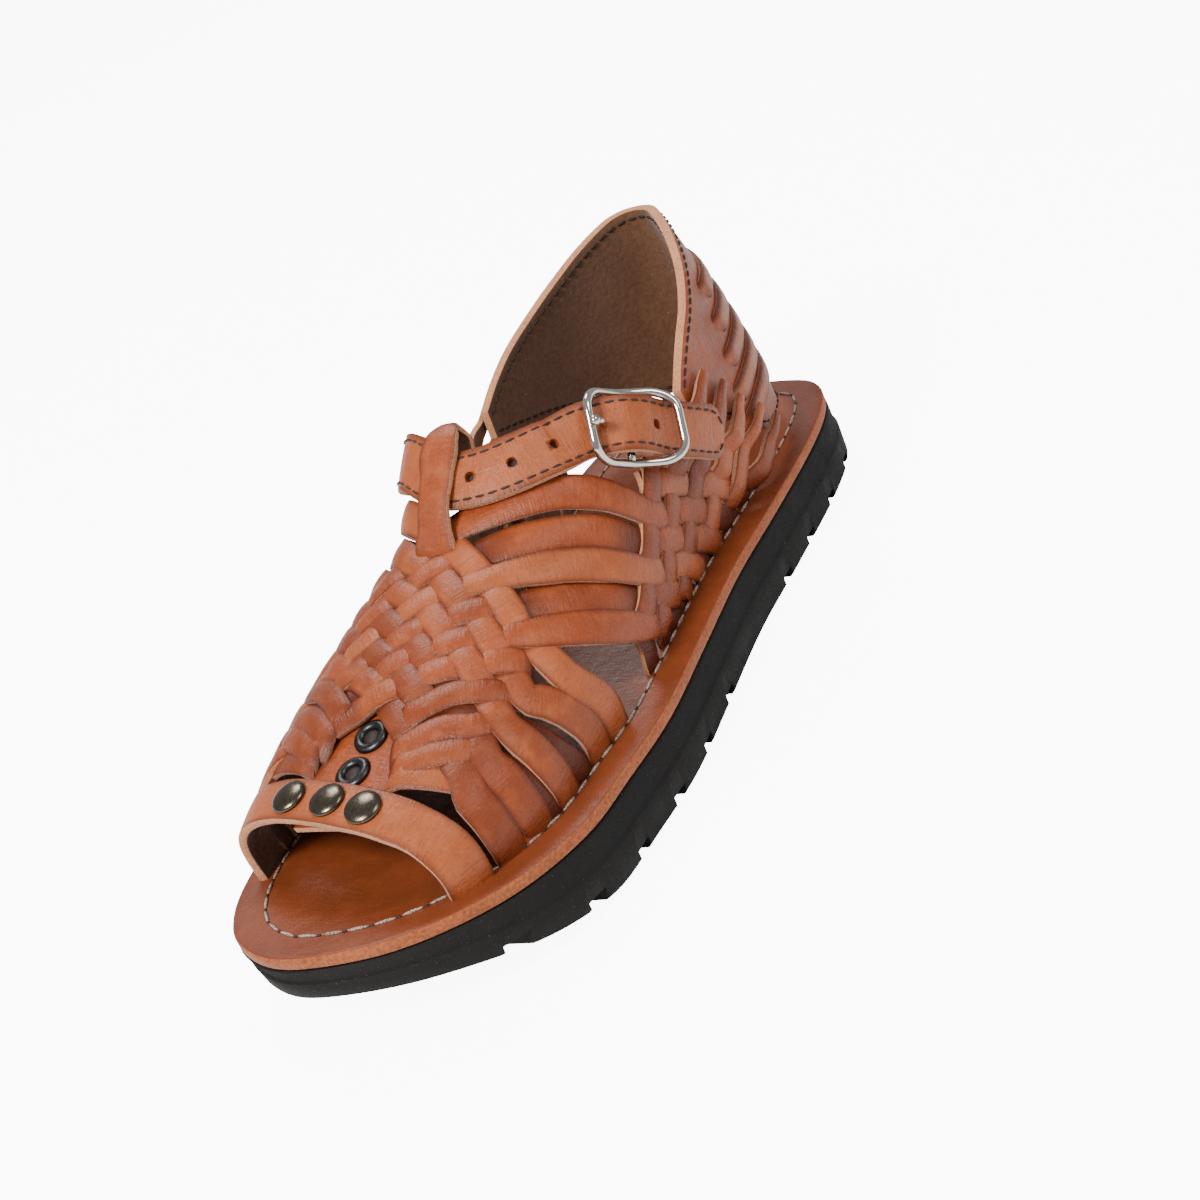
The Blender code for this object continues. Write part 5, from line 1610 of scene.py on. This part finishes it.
class SANDAL_OT_insole(bpy.types.Operator):
    """Leather footbed with a soft edge"""

    bl_idname = "sandal.insole"
    bl_label = "Footbed"

    def execute(self, context):
        """Make the footbed."""
        shape, layers = new_sheet()
        base = OUTSOLE_THICKNESS + GAP
        top = base + INSOLE_THICKNESS
        levels = [
            (lambda s: -0.5 * MM, base),
            (lambda s: 0.0, base + 0.5 * MM),
            (lambda s: 0.0, top - 0.6 * MM),
            (lambda s: -0.25 * MM, top - 0.15 * MM),
            (lambda s: -0.7 * MM, top),
        ]
        lay_slab(shape, layers, levels)
        for face in shape.faces:
            face.material_index = 2 if abs(face.normal.z) < 0.8 else 0
        finish = footbed_materials(context.scene.sandal)
        add_piece("footbed", shape, finish, ["insole"])
        return {"FINISHED"}


class SANDAL_OT_saddle_stitch(bpy.types.Operator):
    """Pale saddle stitches round the footbed"""

    bl_idname = "sandal.saddle_stitch"
    bl_label = "Saddle stitch"

    def execute(self, context):
        """Lay the stitches."""
        settings = context.scene.sandal
        rows = SADDLE_ROWS
        points = []
        for k in range(2 * rows + 1):
            row = k if k <= rows else 2 * rows - k
            point = sole_edge(row, rows, 1 if k <= rows else -1, -SADDLE_INSET)
            point.z = insole_top(station_of(point.y))
            points.append(point)
        apart = 0.2 * MM
        points = [p for n, p in enumerate(points) if not n or (p - points[n - 1]).length > apart]
        ups = [Vector((0, 0, 1))] * len(points)
        threads = bmesh.new()
        stitch_line(threads, points, ups, SADDLE_STITCH, SADDLE_PITCH, SADDLE_THREAD, SADDLE_START)
        smooth_faces(threads)
        finish = thread_material("saddle_thread", settings.pale_thread, settings.suede)
        add_piece("saddle_stitches", threads, [finish])
        # Dark pricks just ahead of each stitch: painted shade in the stitch holes.
        pricks = bmesh.new()
        stitch_line(
            pricks, points, ups, PRICK_LENGTH, SADDLE_PITCH, SADDLE_THREAD,
            SADDLE_START - PRICK_AHEAD, PRICK_SUNK,
        )
        smooth_faces(pricks)
        add_piece("saddle_hole_shade", pricks, [dark_thread("painted_hole_shade", settings)])
        return {"FINISHED"}


class SANDAL_OT_woven_upper(bpy.types.Operator):
    """Instep weave, side straps, front straps and quarters"""

    bl_idname = "sandal.woven_upper"
    bl_label = "Woven upper"

    def execute(self, context):
        """Lay every strap of the upper."""
        settings = context.scene.sandal
        shape, layers = new_sheet()
        draw = random.Random(11)
        seed = 0
        for side in (1, -1):
            chains = [(weave_knots(own, side), 0.0) for own in range(len(WEAVE))]
            chains += [(front_knots(m, side), side * FRONT_SKEW) for m in range(len(FRONT_STRAPS))]
            chains += [(chain, 0.0) for chain in quarter_knots(side)]
            for knots, skew in chains:
                seed += 1
                samples = strap_samples(knots, STRAP_STEP)
                if skew:
                    samples[0].z = -0.4 * MM
                lay_strap(
                    shape, layers, strap_frames(samples), [place.w for place in samples],
                    STRAP_THICKNESS, draw.uniform(-1, 1), seed, skew=skew, dips=self.dips(samples),
                )
        piece = add_piece("woven_straps", shape, strap_materials(settings), ["upper"])
        thicken(piece, STRAP_THICKNESS * 0.85, settings.edge_round)
        return {"FINISHED"}

    def dips(self, samples):
        """Painted shade where a narrow strap passes under others; a strap with no raised place has
        none.
        """
        if max(place.z for place in samples) < LAYER_RISE * 0.9:
            return None
        dips = []
        for place in samples:
            woven = held((SIDE_WIDTH - place.w) / (1.2 * MM))
            dips.append(woven * (1 - smooth_step(place.z / LAYER_RISE / 0.9)))
        return dips


class SANDAL_OT_toe_band(bpy.types.Operator):
    """Plain band over the toes"""

    bl_idname = "sandal.toe_band"
    bl_label = "Toe band"

    def execute(self, context):
        """Make the band."""
        settings = context.scene.sandal
        knots = [knot(s, g, BAND_LIFT, BAND_WIDTH) for s, g in BAND]
        for (station, _), sign in ((BAND[0], -1), (BAND[-1], 1)):
            depth = TAIL_DEPTH / girth_length(station, sign)
            end = knot(station, sign * (1 + depth), 0.2 * MM, BAND_WIDTH * 0.92)
            knots.insert(0 if sign < 0 else len(knots), end)
        samples = strap_samples(knots, FINE_STEP)
        shape, layers = new_sheet()
        widths = [place.w for place in samples]
        frames = strap_frames(samples)
        lay_strap(shape, layers, frames, widths, BAND_THICKNESS, 0.9, 90, FLAT_CROWN, rows=12)
        finish = strap_materials(settings)
        piece = add_piece("toe_band_leather", shape, finish, ["toe_band"])
        thicken(piece, BAND_THICKNESS, settings.edge_round * 1.3)
        return {"FINISHED"}


def middle_normal(station, girth):
    """The last's outward direction next to the ridge, straight up the middle."""
    normal = last_normal(station, girth)
    normal.x = 0
    return normal.normalized()


def tongue_frames():
    """Frames and widths along the tongue, round the tab's fold and down its inner side."""
    rows = TONGUE + [TAB_TIP] + TAB_INNER
    spots = []
    for station, _, height in rows:
        spots.append(last_point(station, 0.0) + middle_normal(station, 0.02) * height * MM)
    centres = curve_line(spots, 4)
    widths = []
    for low, high in zip(rows, rows[1:]):
        for k in range(4):
            widths.append(blend(low[1], high[1], smooth_step(k / 4)) * TONGUE_FRONT_WIDTH)
    widths.append(rows[-1][1] * TONGUE_FRONT_WIDTH)
    frames = []
    left = Vector((-1, 0, 0))
    for i, centre in enumerate(centres):
        ahead = centres[min(i + 1, len(centres) - 1)]
        along = (ahead - centres[max(i - 1, 0)]).normalized()
        frames.append((centre, along, left, along.cross(left).normalized()))
    return frames, widths


class SANDAL_OT_tongue(bpy.types.Operator):
    """Centre strap under the weave, with the folded tab for the ankle strap"""

    bl_idname = "sandal.tongue"
    bl_label = "Tongue"

    def execute(self, context):
        """Make the tongue; under the weave it follows the last from side to side."""
        settings = context.scene.sandal
        frames, widths = tongue_frames()
        shape, layers = new_sheet()
        lay_strap(shape, layers, frames, widths, TONGUE_THICKNESS, 0.1, 95, 0.2 * MM, rows=12)
        for vert in shape.verts:
            station = station_of(vert.co.y)
            if station > TAB_START:
                aside = vert.co.x - last_point(station, 0.0).x
                girth = aside / girth_length(station, 1 if aside >= 0 else -1)
                normal = last_normal(station, girth if abs(girth) > 0.002 else 0.002)
                lift = TONGUE_DEPTH * MM + TONGUE_THICKNESS
                vert.co = last_point(station, girth) + normal * lift
        piece = add_piece("tongue_leather", shape, strap_materials(settings), ["tongue"])
        thicken(piece, TONGUE_THICKNESS * 0.95, settings.edge_round)
        return {"FINISHED"}


class SANDAL_OT_fasteners(bpy.types.Operator):
    """Domed rivets on the toe band and eyelets in the tongue"""

    bl_idname = "sandal.fasteners"
    bl_label = "Rivets and eyelets"

    def execute(self, context):
        """Turn the rivets and the eyelets."""
        shape = bmesh.new()
        head = BAND_LIFT + BAND_THICKNESS + GAP
        dome = head + RIVET_BRIM
        foot = head - 0.2 * MM
        profile = [(0.0, dome + RIVET_DOME)]
        for n in range(1, 9):
            angle = math.pi / 2 * n / 8
            profile.append((RIVET_RADIUS * math.sin(angle), dome + RIVET_DOME * math.cos(angle)))
        profile += [(RIVET_RADIUS, head), (RIVET_RADIUS * 0.8, foot), (0.0, foot)]
        for place in RIVETS:
            turn_profile(shape, profile, last_point(*place), last_normal(*place))
        brass = metal_material("antique_brass")
        add_piece("rivet_heads", shape, [brass], ["rivet_1", "rivet_2", "rivet_3"])
        shape = bmesh.new()
        dark = bmesh.new()
        bottom = TONGUE_DEPTH * MM
        top = bottom + TONGUE_THICKNESS + 0.15 * MM
        middle = (EYELET_BORE + EYELET_RADIUS) / 2
        half = (EYELET_RADIUS - EYELET_BORE) / 2
        inside = EYELET_BORE + 0.7 * MM
        profile = [(EYELET_BORE, bottom)]
        for n in range(0, 9):
            angle = math.pi * n / 8
            profile.append((middle - half * math.cos(angle), top + EYELET_ROLL * math.sin(angle)))
        profile += [(EYELET_RADIUS, top - 0.3 * MM), (inside, top - 0.3 * MM), (inside, bottom)]
        # A thin dark disc in each bore is painted shade in the eyelet's hole.
        wide = EYELET_BORE + 0.1 * MM
        hole = [(0.0, top + 0.15 * MM), (wide, top + 0.15 * MM)]
        hole += [(wide, top - 0.1 * MM), (0.0, top - 0.1 * MM)]
        for station in EYELETS:
            normal = middle_normal(station, 0.01)
            turn_profile(shape, profile, last_point(station, 0.0), normal)
            turn_profile(dark, hole, last_point(station, 0.0), normal, 20)
        steel = metal_material("gunmetal")
        add_piece("eyelet_rings", shape, [steel], ["eyelet_1", "eyelet_2"])
        finish = dark_thread("painted_hole_shade", context.scene.sandal)
        add_piece("eyelet_bore_shade", dark, [finish])
        return {"FINISHED"}


class SANDAL_OT_heel_cup(bpy.types.Operator):
    """Open heel cup with its raised bars and seams"""

    bl_idname = "sandal.heel_cup"
    bl_label = "Heel cup"

    def execute(self, context):
        """Make the cup, its bars and its stitches."""
        settings = context.scene.sandal
        finish = strap_materials(settings)
        shape, layers = new_sheet()

        def on_cup(share, across):
            side, column, low, high = cup_edges(share)
            height = low + (high - low) * (1 - across) / 2
            out = cup_normal(side, column, height)
            point = cup_point(side, column, height) + out * COUNTER_THICKNESS
            return point, (share * 0.28, height), 0.0

        lay_sheet(shape, layers, *CUP_GRID, on_cup, -0.1)
        bmesh.ops.recalc_face_normals(shape, faces=shape.faces)
        centre = shape.faces[:][len(shape.faces) // 2]
        inside = Vector((0, y_of(0.2), 0.06))
        if centre.normal.dot(centre.calc_center_median() - inside) < 0:
            bmesh.ops.reverse_faces(shape, faces=shape.faces)
        piece = add_piece("heel_cup", shape, finish, ["heel_counter"])
        thicken(piece, COUNTER_THICKNESS, CUP_ROUND)
        shape, layers = new_sheet()
        draw = random.Random(5)
        for side in (1, -1):
            for bar in range(BAR_COUNT):
                self.lay_bar(shape, layers, side, bar, draw.uniform(-0.8, 0.8))
        bars = add_piece("heel_bars", shape, finish)
        thicken(bars, BAR_THICKNESS, BAR_ROUND)
        shape = bmesh.new()
        for upper in (True, False):
            points = []
            ups = []
            for n in range(CUP_SEAM_STEPS + 1):
                share = blend(CUP_SEAM_END, 1 - CUP_SEAM_END, n / CUP_SEAM_STEPS)
                side, column, low, high = cup_edges(share)
                height = high - CUP_SEAM_INSET if upper else low + CUP_SEAM_INSET
                out = cup_normal(side, column, height)
                points.append(cup_point(side, column, height) + out * COUNTER_THICKNESS)
                ups.append(out)
            stitch_line(shape, points, ups, SEAM_STITCH, SEAM_PITCH, SEAM_THREAD)
            wall = COUNTER_THICKNESS + 0.05 * MM
            inner = [point - up * wall for point, up in zip(points, ups)]
            stitch_line(shape, inner, [-up for up in ups], SEAM_STITCH, SEAM_PITCH, SEAM_THREAD)
        smooth_faces(shape)
        add_piece("heel_stitches", shape, [dark_thread("seam_thread", settings)])
        return {"FINISHED"}

    def lay_bar(self, shape, layers, side, bar, tone):
        """Lay one raised bar of the cup, its ends dipping into slits."""
        half = BAR_WIDTH / 2 * 0.96
        front = BAR_FRONT + BAR_FRONT_STEP * bar
        rear_height = (BAR_TOP_REAR - BAR_PITCH_REAR * bar) * HEEL_CUP_HEIGHT
        front_height = (BAR_TOP_FRONT - BAR_PITCH_FRONT * bar) * HEEL_CUP_HEIGHT

        def place(share, across):
            end = min(share, 1 - share)
            column = blend(BAR_REAR, front, share)
            slant = -BAR_SLANT * side * across * max(0.0, 1 - end * 7)
            column += -slant if share < 0.5 else slant
            height = blend(rear_height, front_height, share) - across * half * side
            out = cup_normal(side, column, height)
            dip = smooth_step(end / BAR_DIP)
            rise = COUNTER_THICKNESS + BAR_RISE * dip - BAR_SINK * (1 + across ** 4)
            point = cup_point(side, column, height) + out * rise
            # The third value darkens the bar toward its long edges: painted shade in the gaps
            # between bars.
            return point, (share * 0.07 + bar * 0.1, across * half), abs(across)

        lay_sheet(shape, layers, *BAR_GRID, place, tone)


def ankle_frames():
    """Frames and widths along the ankle strap."""
    places = []
    for station, girth, height in ANKLE_LINE:
        if height is not None:
            out = last_normal(station, girth if girth else 0.01)
            places.append((last_point(station, girth) + out * height * MM, out, ANKLE_WIDTH))
    for x, height in ANKLE_BUCKLE:
        places.append((at_buckle(x, 0, height), buckle_axes(x * MM)[3], ANKLE_WIDTH))
    end, end_height = ANKLE_BUCKLE[-1]
    for share, width in ((0.3, 0.96), (0.6, 0.80), (0.85, 0.52), (0.97, 0.22)):
        x = end + (ANKLE_TIP - end) * share
        places.append((at_buckle(x, 0, end_height), buckle_axes(x * MM)[3], ANKLE_WIDTH * width))
    centres = []
    normals = []
    widths = []
    spots = [place[0] for place in places]
    for i, (low, high) in enumerate(zip(places, places[1:])):
        count = max(1, round((high[0] - low[0]).length / FINE_STEP))
        for k in range(count):
            t = k / count
            centres.append(curve_point(spots, i, t))
            normals.append(low[1].lerp(high[1], t).normalized())
            widths.append(blend(low[2], high[2], t))
    centres.append(places[-1][0])
    normals.append(places[-1][1])
    widths.append(places[-1][2])
    return frames_of(centres, normals), widths


class SANDAL_OT_ankle_strap(bpy.types.Operator):
    """Two-layer ankle strap with holes and edge seams"""

    bl_idname = "sandal.ankle_strap"
    bl_label = "Ankle strap"

    def execute(self, context):
        """Make the strap and its seams."""
        settings = context.scene.sandal
        frames, widths = ankle_frames()
        finish = strap_materials(settings)
        shape, layers = new_sheet()
        lay_strap(shape, layers, frames, widths, ANKLE_THICKNESS, 1.0, 61, FLAT_CROWN, rows=10)
        piece = add_piece("ankle_strap_leather", shape, finish, ["ankle_strap"])
        thicken(piece, ANKLE_THICKNESS, settings.edge_round * 1.2)
        holes = bmesh.new()
        plugs = bmesh.new()
        for x in STRAP_HOLES:
            spot = at_buckle(x, 0, 5)
            middle, _, _, up = min(frames, key=lambda place: (place[0] - spot).length)
            turn = Vector((0, 0, 1)).rotation_difference(up).to_matrix().to_4x4()
            middle_lift = 0.6 * MM + HOLE_DEPTH / 2
            for target, sides, low, high, tall, lift in (
                (holes, 20, HOLE_RADIUS_LOW, HOLE_RADIUS_TOP, HOLE_DEPTH, middle_lift),
                (plugs, 16, PLUG_RADIUS, PLUG_RADIUS, 0.3 * MM, 0.85 * MM),
            ):
                bmesh.ops.create_cone(
                    target, cap_ends=True, segments=sides, radius1=low, radius2=high, depth=tall,
                    matrix=Matrix.Translation(middle + up * lift) @ turn,
                )
        cut_holes(piece, holes)
        add_piece("strap_hole_shade", plugs, [dark_thread("painted_hole_shade", settings)])
        shape = bmesh.new()
        for sign in (1, -1):
            points = []
            ups = []
            for (centre, _, left, up), width in zip(frames, widths):
                half = max(width / 2 - SEAM_INSET, 0.3 * MM)
                points.append(centre + left * half * sign + up * (ANKLE_THICKNESS - 0.15 * MM))
                ups.append(up)
            stitch_line(shape, points, ups, SEAM_STITCH, SEAM_PITCH, SEAM_THREAD, 2 * MM)
        smooth_faces(shape)
        add_piece("ankle_stitches", shape, [dark_thread("seam_thread", settings)])
        return {"FINISHED"}


class SANDAL_OT_buckle(bpy.types.Operator):
    """Leather carrier, bowed frame with its centre bar, and prong"""

    bl_idname = "sandal.buckle"
    bl_label = "Buckle"

    def execute(self, context):
        """Make the carrier, the frame and the prong."""
        settings = context.scene.sandal
        nickel = metal_material("polished_nickel")
        shape, layers = new_sheet()
        frames = self.carrier_frames()
        widths = [CARRIER_WIDTH] * len(frames)
        lay_strap(shape, layers, frames, widths, CARRIER_THICKNESS / 2, 0.1, 71, 0.1 * MM, rows=6)
        finish = strap_materials(settings)
        piece = add_piece("carrier_leather", shape, finish, ["buckle_carrier"])
        thicken(piece, CARRIER_THICKNESS, settings.edge_round * 0.9)
        shape = bmesh.new()
        half = (ANKLE_WIDTH + FRAME_ROOM + BUCKLE_WIRE) / MM / 2
        up = buckle_axes(0.0)[3]
        lay_wire(shape, self.frame_points(half), BUCKLE_WIRE / 2, True, up)
        bar = [at_buckle(0, half * k / 4, BAR_HEIGHT) for k in range(-4, 5)]
        lay_wire(shape, bar, BAR_RADIUS, False, up)
        self.finish_metal("buckle_wire", shape, nickel, "buckle_frame")
        shape = bmesh.new()
        spots = curve_line([Vector((x, height, 0)) for x, height in PRONG], 4)
        up = buckle_axes(-8 * MM)[2].cross(Vector((0, 0, 1)))
        lay_wire(shape, [at_buckle(spot.x, 0, spot.y) for spot in spots], PRONG_RADIUS, False, up)
        tip = Matrix.Translation(at_buckle(PRONG[-1][0], 0, PRONG[-1][1] + 0.7))
        bmesh.ops.create_uvsphere(
            shape, u_segments=20, v_segments=12, radius=PRONG_TIP_RADIUS, matrix=tip
        )
        self.finish_metal("prong_wire", shape, nickel, "buckle_prong")
        return {"FINISHED"}

    def carrier_frames(self):
        """Frames along the leather that folds round the centre bar, its outside outward."""
        line = curve_line([Vector((x, height, 0)) for x, height in CARRIER], 4)
        frames = []
        for i, spot in enumerate(line):
            run = (line[min(i + 1, len(line) - 1)] - line[max(i - 1, 0)]).normalized()
            _, along, _, normal = buckle_axes(spot.x * MM)
            out = along * run.y - normal * run.x
            forward = along * run.x + normal * run.y
            centre = at_buckle(spot.x, 0, spot.y)
            frames.append((centre, forward, out.cross(forward).normalized(), out))
        return frames

    def frame_points(self, half):
        """Centre line of the buckle's frame, a rectangle with round corners."""
        long_side = FRAME_REACH - FRAME_CORNER
        short_side = half - FRAME_CORNER
        points = []
        for cx, cy, start in ((1, 1, 0), (-1, 1, 90), (-1, -1, 180), (1, -1, 270)):
            for n in range(10):
                angle = math.radians(start + 10 * n)
                x = cx * long_side + FRAME_CORNER * math.cos(angle)
                points.append(on_frame(x, cy * short_side + FRAME_CORNER * math.sin(angle)))
            if cx * cy > 0:
                points += [on_frame(cx * long_side * (1 - k / 6), cy * half) for k in range(1, 12)]
            else:
                points += [
                    on_frame(cx * FRAME_REACH, cy * short_side * (1 - k / 4)) for k in range(1, 8)
                ]
        return points

    def finish_metal(self, name, shape, metal, solid):
        """Smooth a metal part and add it in place of its solid."""
        bmesh.ops.recalc_face_normals(shape, faces=shape.faces)
        smooth_faces(shape)
        add_piece(name, shape, [metal], [solid])


class SANDAL_OT_stage(bpy.types.Operator):
    """Pale floor, soft lights and the camera"""

    bl_idname = "sandal.stage"
    bl_label = "Studio"

    def execute(self, context):
        """Set the floor, the lights and the camera."""
        scene = context.scene
        shape = bmesh.new()
        bmesh.ops.create_grid(shape, x_segments=4, y_segments=4, size=FLOOR_SIZE)
        mesh = bpy.data.meshes.new("floor")
        shape.to_mesh(mesh)
        shape.free()
        floor = bpy.data.objects.new("floor", mesh)
        scene.collection.objects.link(floor)
        made, tree, shader = blank_material("pale_floor")
        seen = node(tree, "ShaderNodeLightPath").outputs["Is Camera Ray"]
        fill(tree, shader, {
            "Base Color": (0.96, 0.96, 0.96, 1),
            "Emission Color": (1, 1, 1, 1),
            "Emission Strength": remap(tree, seen, 0, 1, 0.05, 9.0),
            "Roughness": 0.7,
            "Specular IOR Level": 0.2,
        })
        mesh.materials.append(made)
        world = bpy.data.worlds.new("studio")
        world.use_nodes = True
        sky = world.node_tree.nodes["Background"]
        fill(world.node_tree, sky, {"Color": (0.95, 0.96, 1.0, 1), "Strength": 0.45})
        scene.world = world
        for light in LIGHTS:
            self.light(*light)
        data = bpy.data.cameras.new("camera")
        data.lens = CAMERA_LENS
        data.sensor_width = CAMERA_SENSOR
        data.clip_start = 0.01
        camera = bpy.data.objects.new("camera", data)
        scene.collection.objects.link(camera)
        axes = Matrix((CAMERA_RIGHT, CAMERA_UP, CAMERA_BACK)).transposed().to_quaternion()
        camera.matrix_world = Matrix.Translation(CAMERA_PLACE) @ axes.to_matrix().to_4x4()
        scene.camera = camera
        return {"FINISHED"}

    def light(self, name, place, size, power, colour):
        """Soft square light aimed at the sandal."""
        data = bpy.data.lights.new(name, "AREA")
        data.size = size
        data.energy = power
        data.color = colour
        lamp = bpy.data.objects.new(name, data)
        bpy.context.scene.collection.objects.link(lamp)
        lamp.location = place
        aim = Vector((0, 0, 0.05)) - Vector(place)
        lamp.rotation_euler = aim.to_track_quat("-Z", "Y").to_euler()


class SANDAL_PT_panel(bpy.types.Panel):
    """Sandal's pieces and colours"""

    bl_label = "Huarache Sandal"
    bl_idname = "SANDAL_PT_panel"
    bl_space_type = "VIEW_3D"
    bl_region_type = "UI"
    bl_category = "Sandal"

    def draw(self, context):
        """List the operators and the settings."""
        for step in STEPS:
            self.layout.operator(step.bl_idname)
        for name in SandalSettings.__annotations__:
            self.layout.prop(context.scene.sandal, name)


STEPS = (
    SANDAL_OT_stage,
    SANDAL_OT_outsole,
    SANDAL_OT_insole,
    SANDAL_OT_saddle_stitch,
    SANDAL_OT_woven_upper,
    SANDAL_OT_toe_band,
    SANDAL_OT_tongue,
    SANDAL_OT_fasteners,
    SANDAL_OT_heel_cup,
    SANDAL_OT_ankle_strap,
    SANDAL_OT_buckle,
)


def register():
    """Register the settings, the operators and the panel."""
    for part in (SandalSettings, *STEPS, SANDAL_PT_panel):
        bpy.utils.register_class(part)
    bpy.types.Scene.sandal = bpy.props.PointerProperty(type=SandalSettings)


def unregister():
    """Take the settings, the operators and the panel away."""
    del bpy.types.Scene.sandal
    for part in reversed((SandalSettings, *STEPS, SANDAL_PT_panel)):
        bpy.utils.unregister_class(part)


def main():
    """Dress the sandal."""
    register()
    for step in STEPS:
        group, name = step.bl_idname.split(".")
        getattr(getattr(bpy.ops, group), name)()


if __name__ == "__main__":
    main()
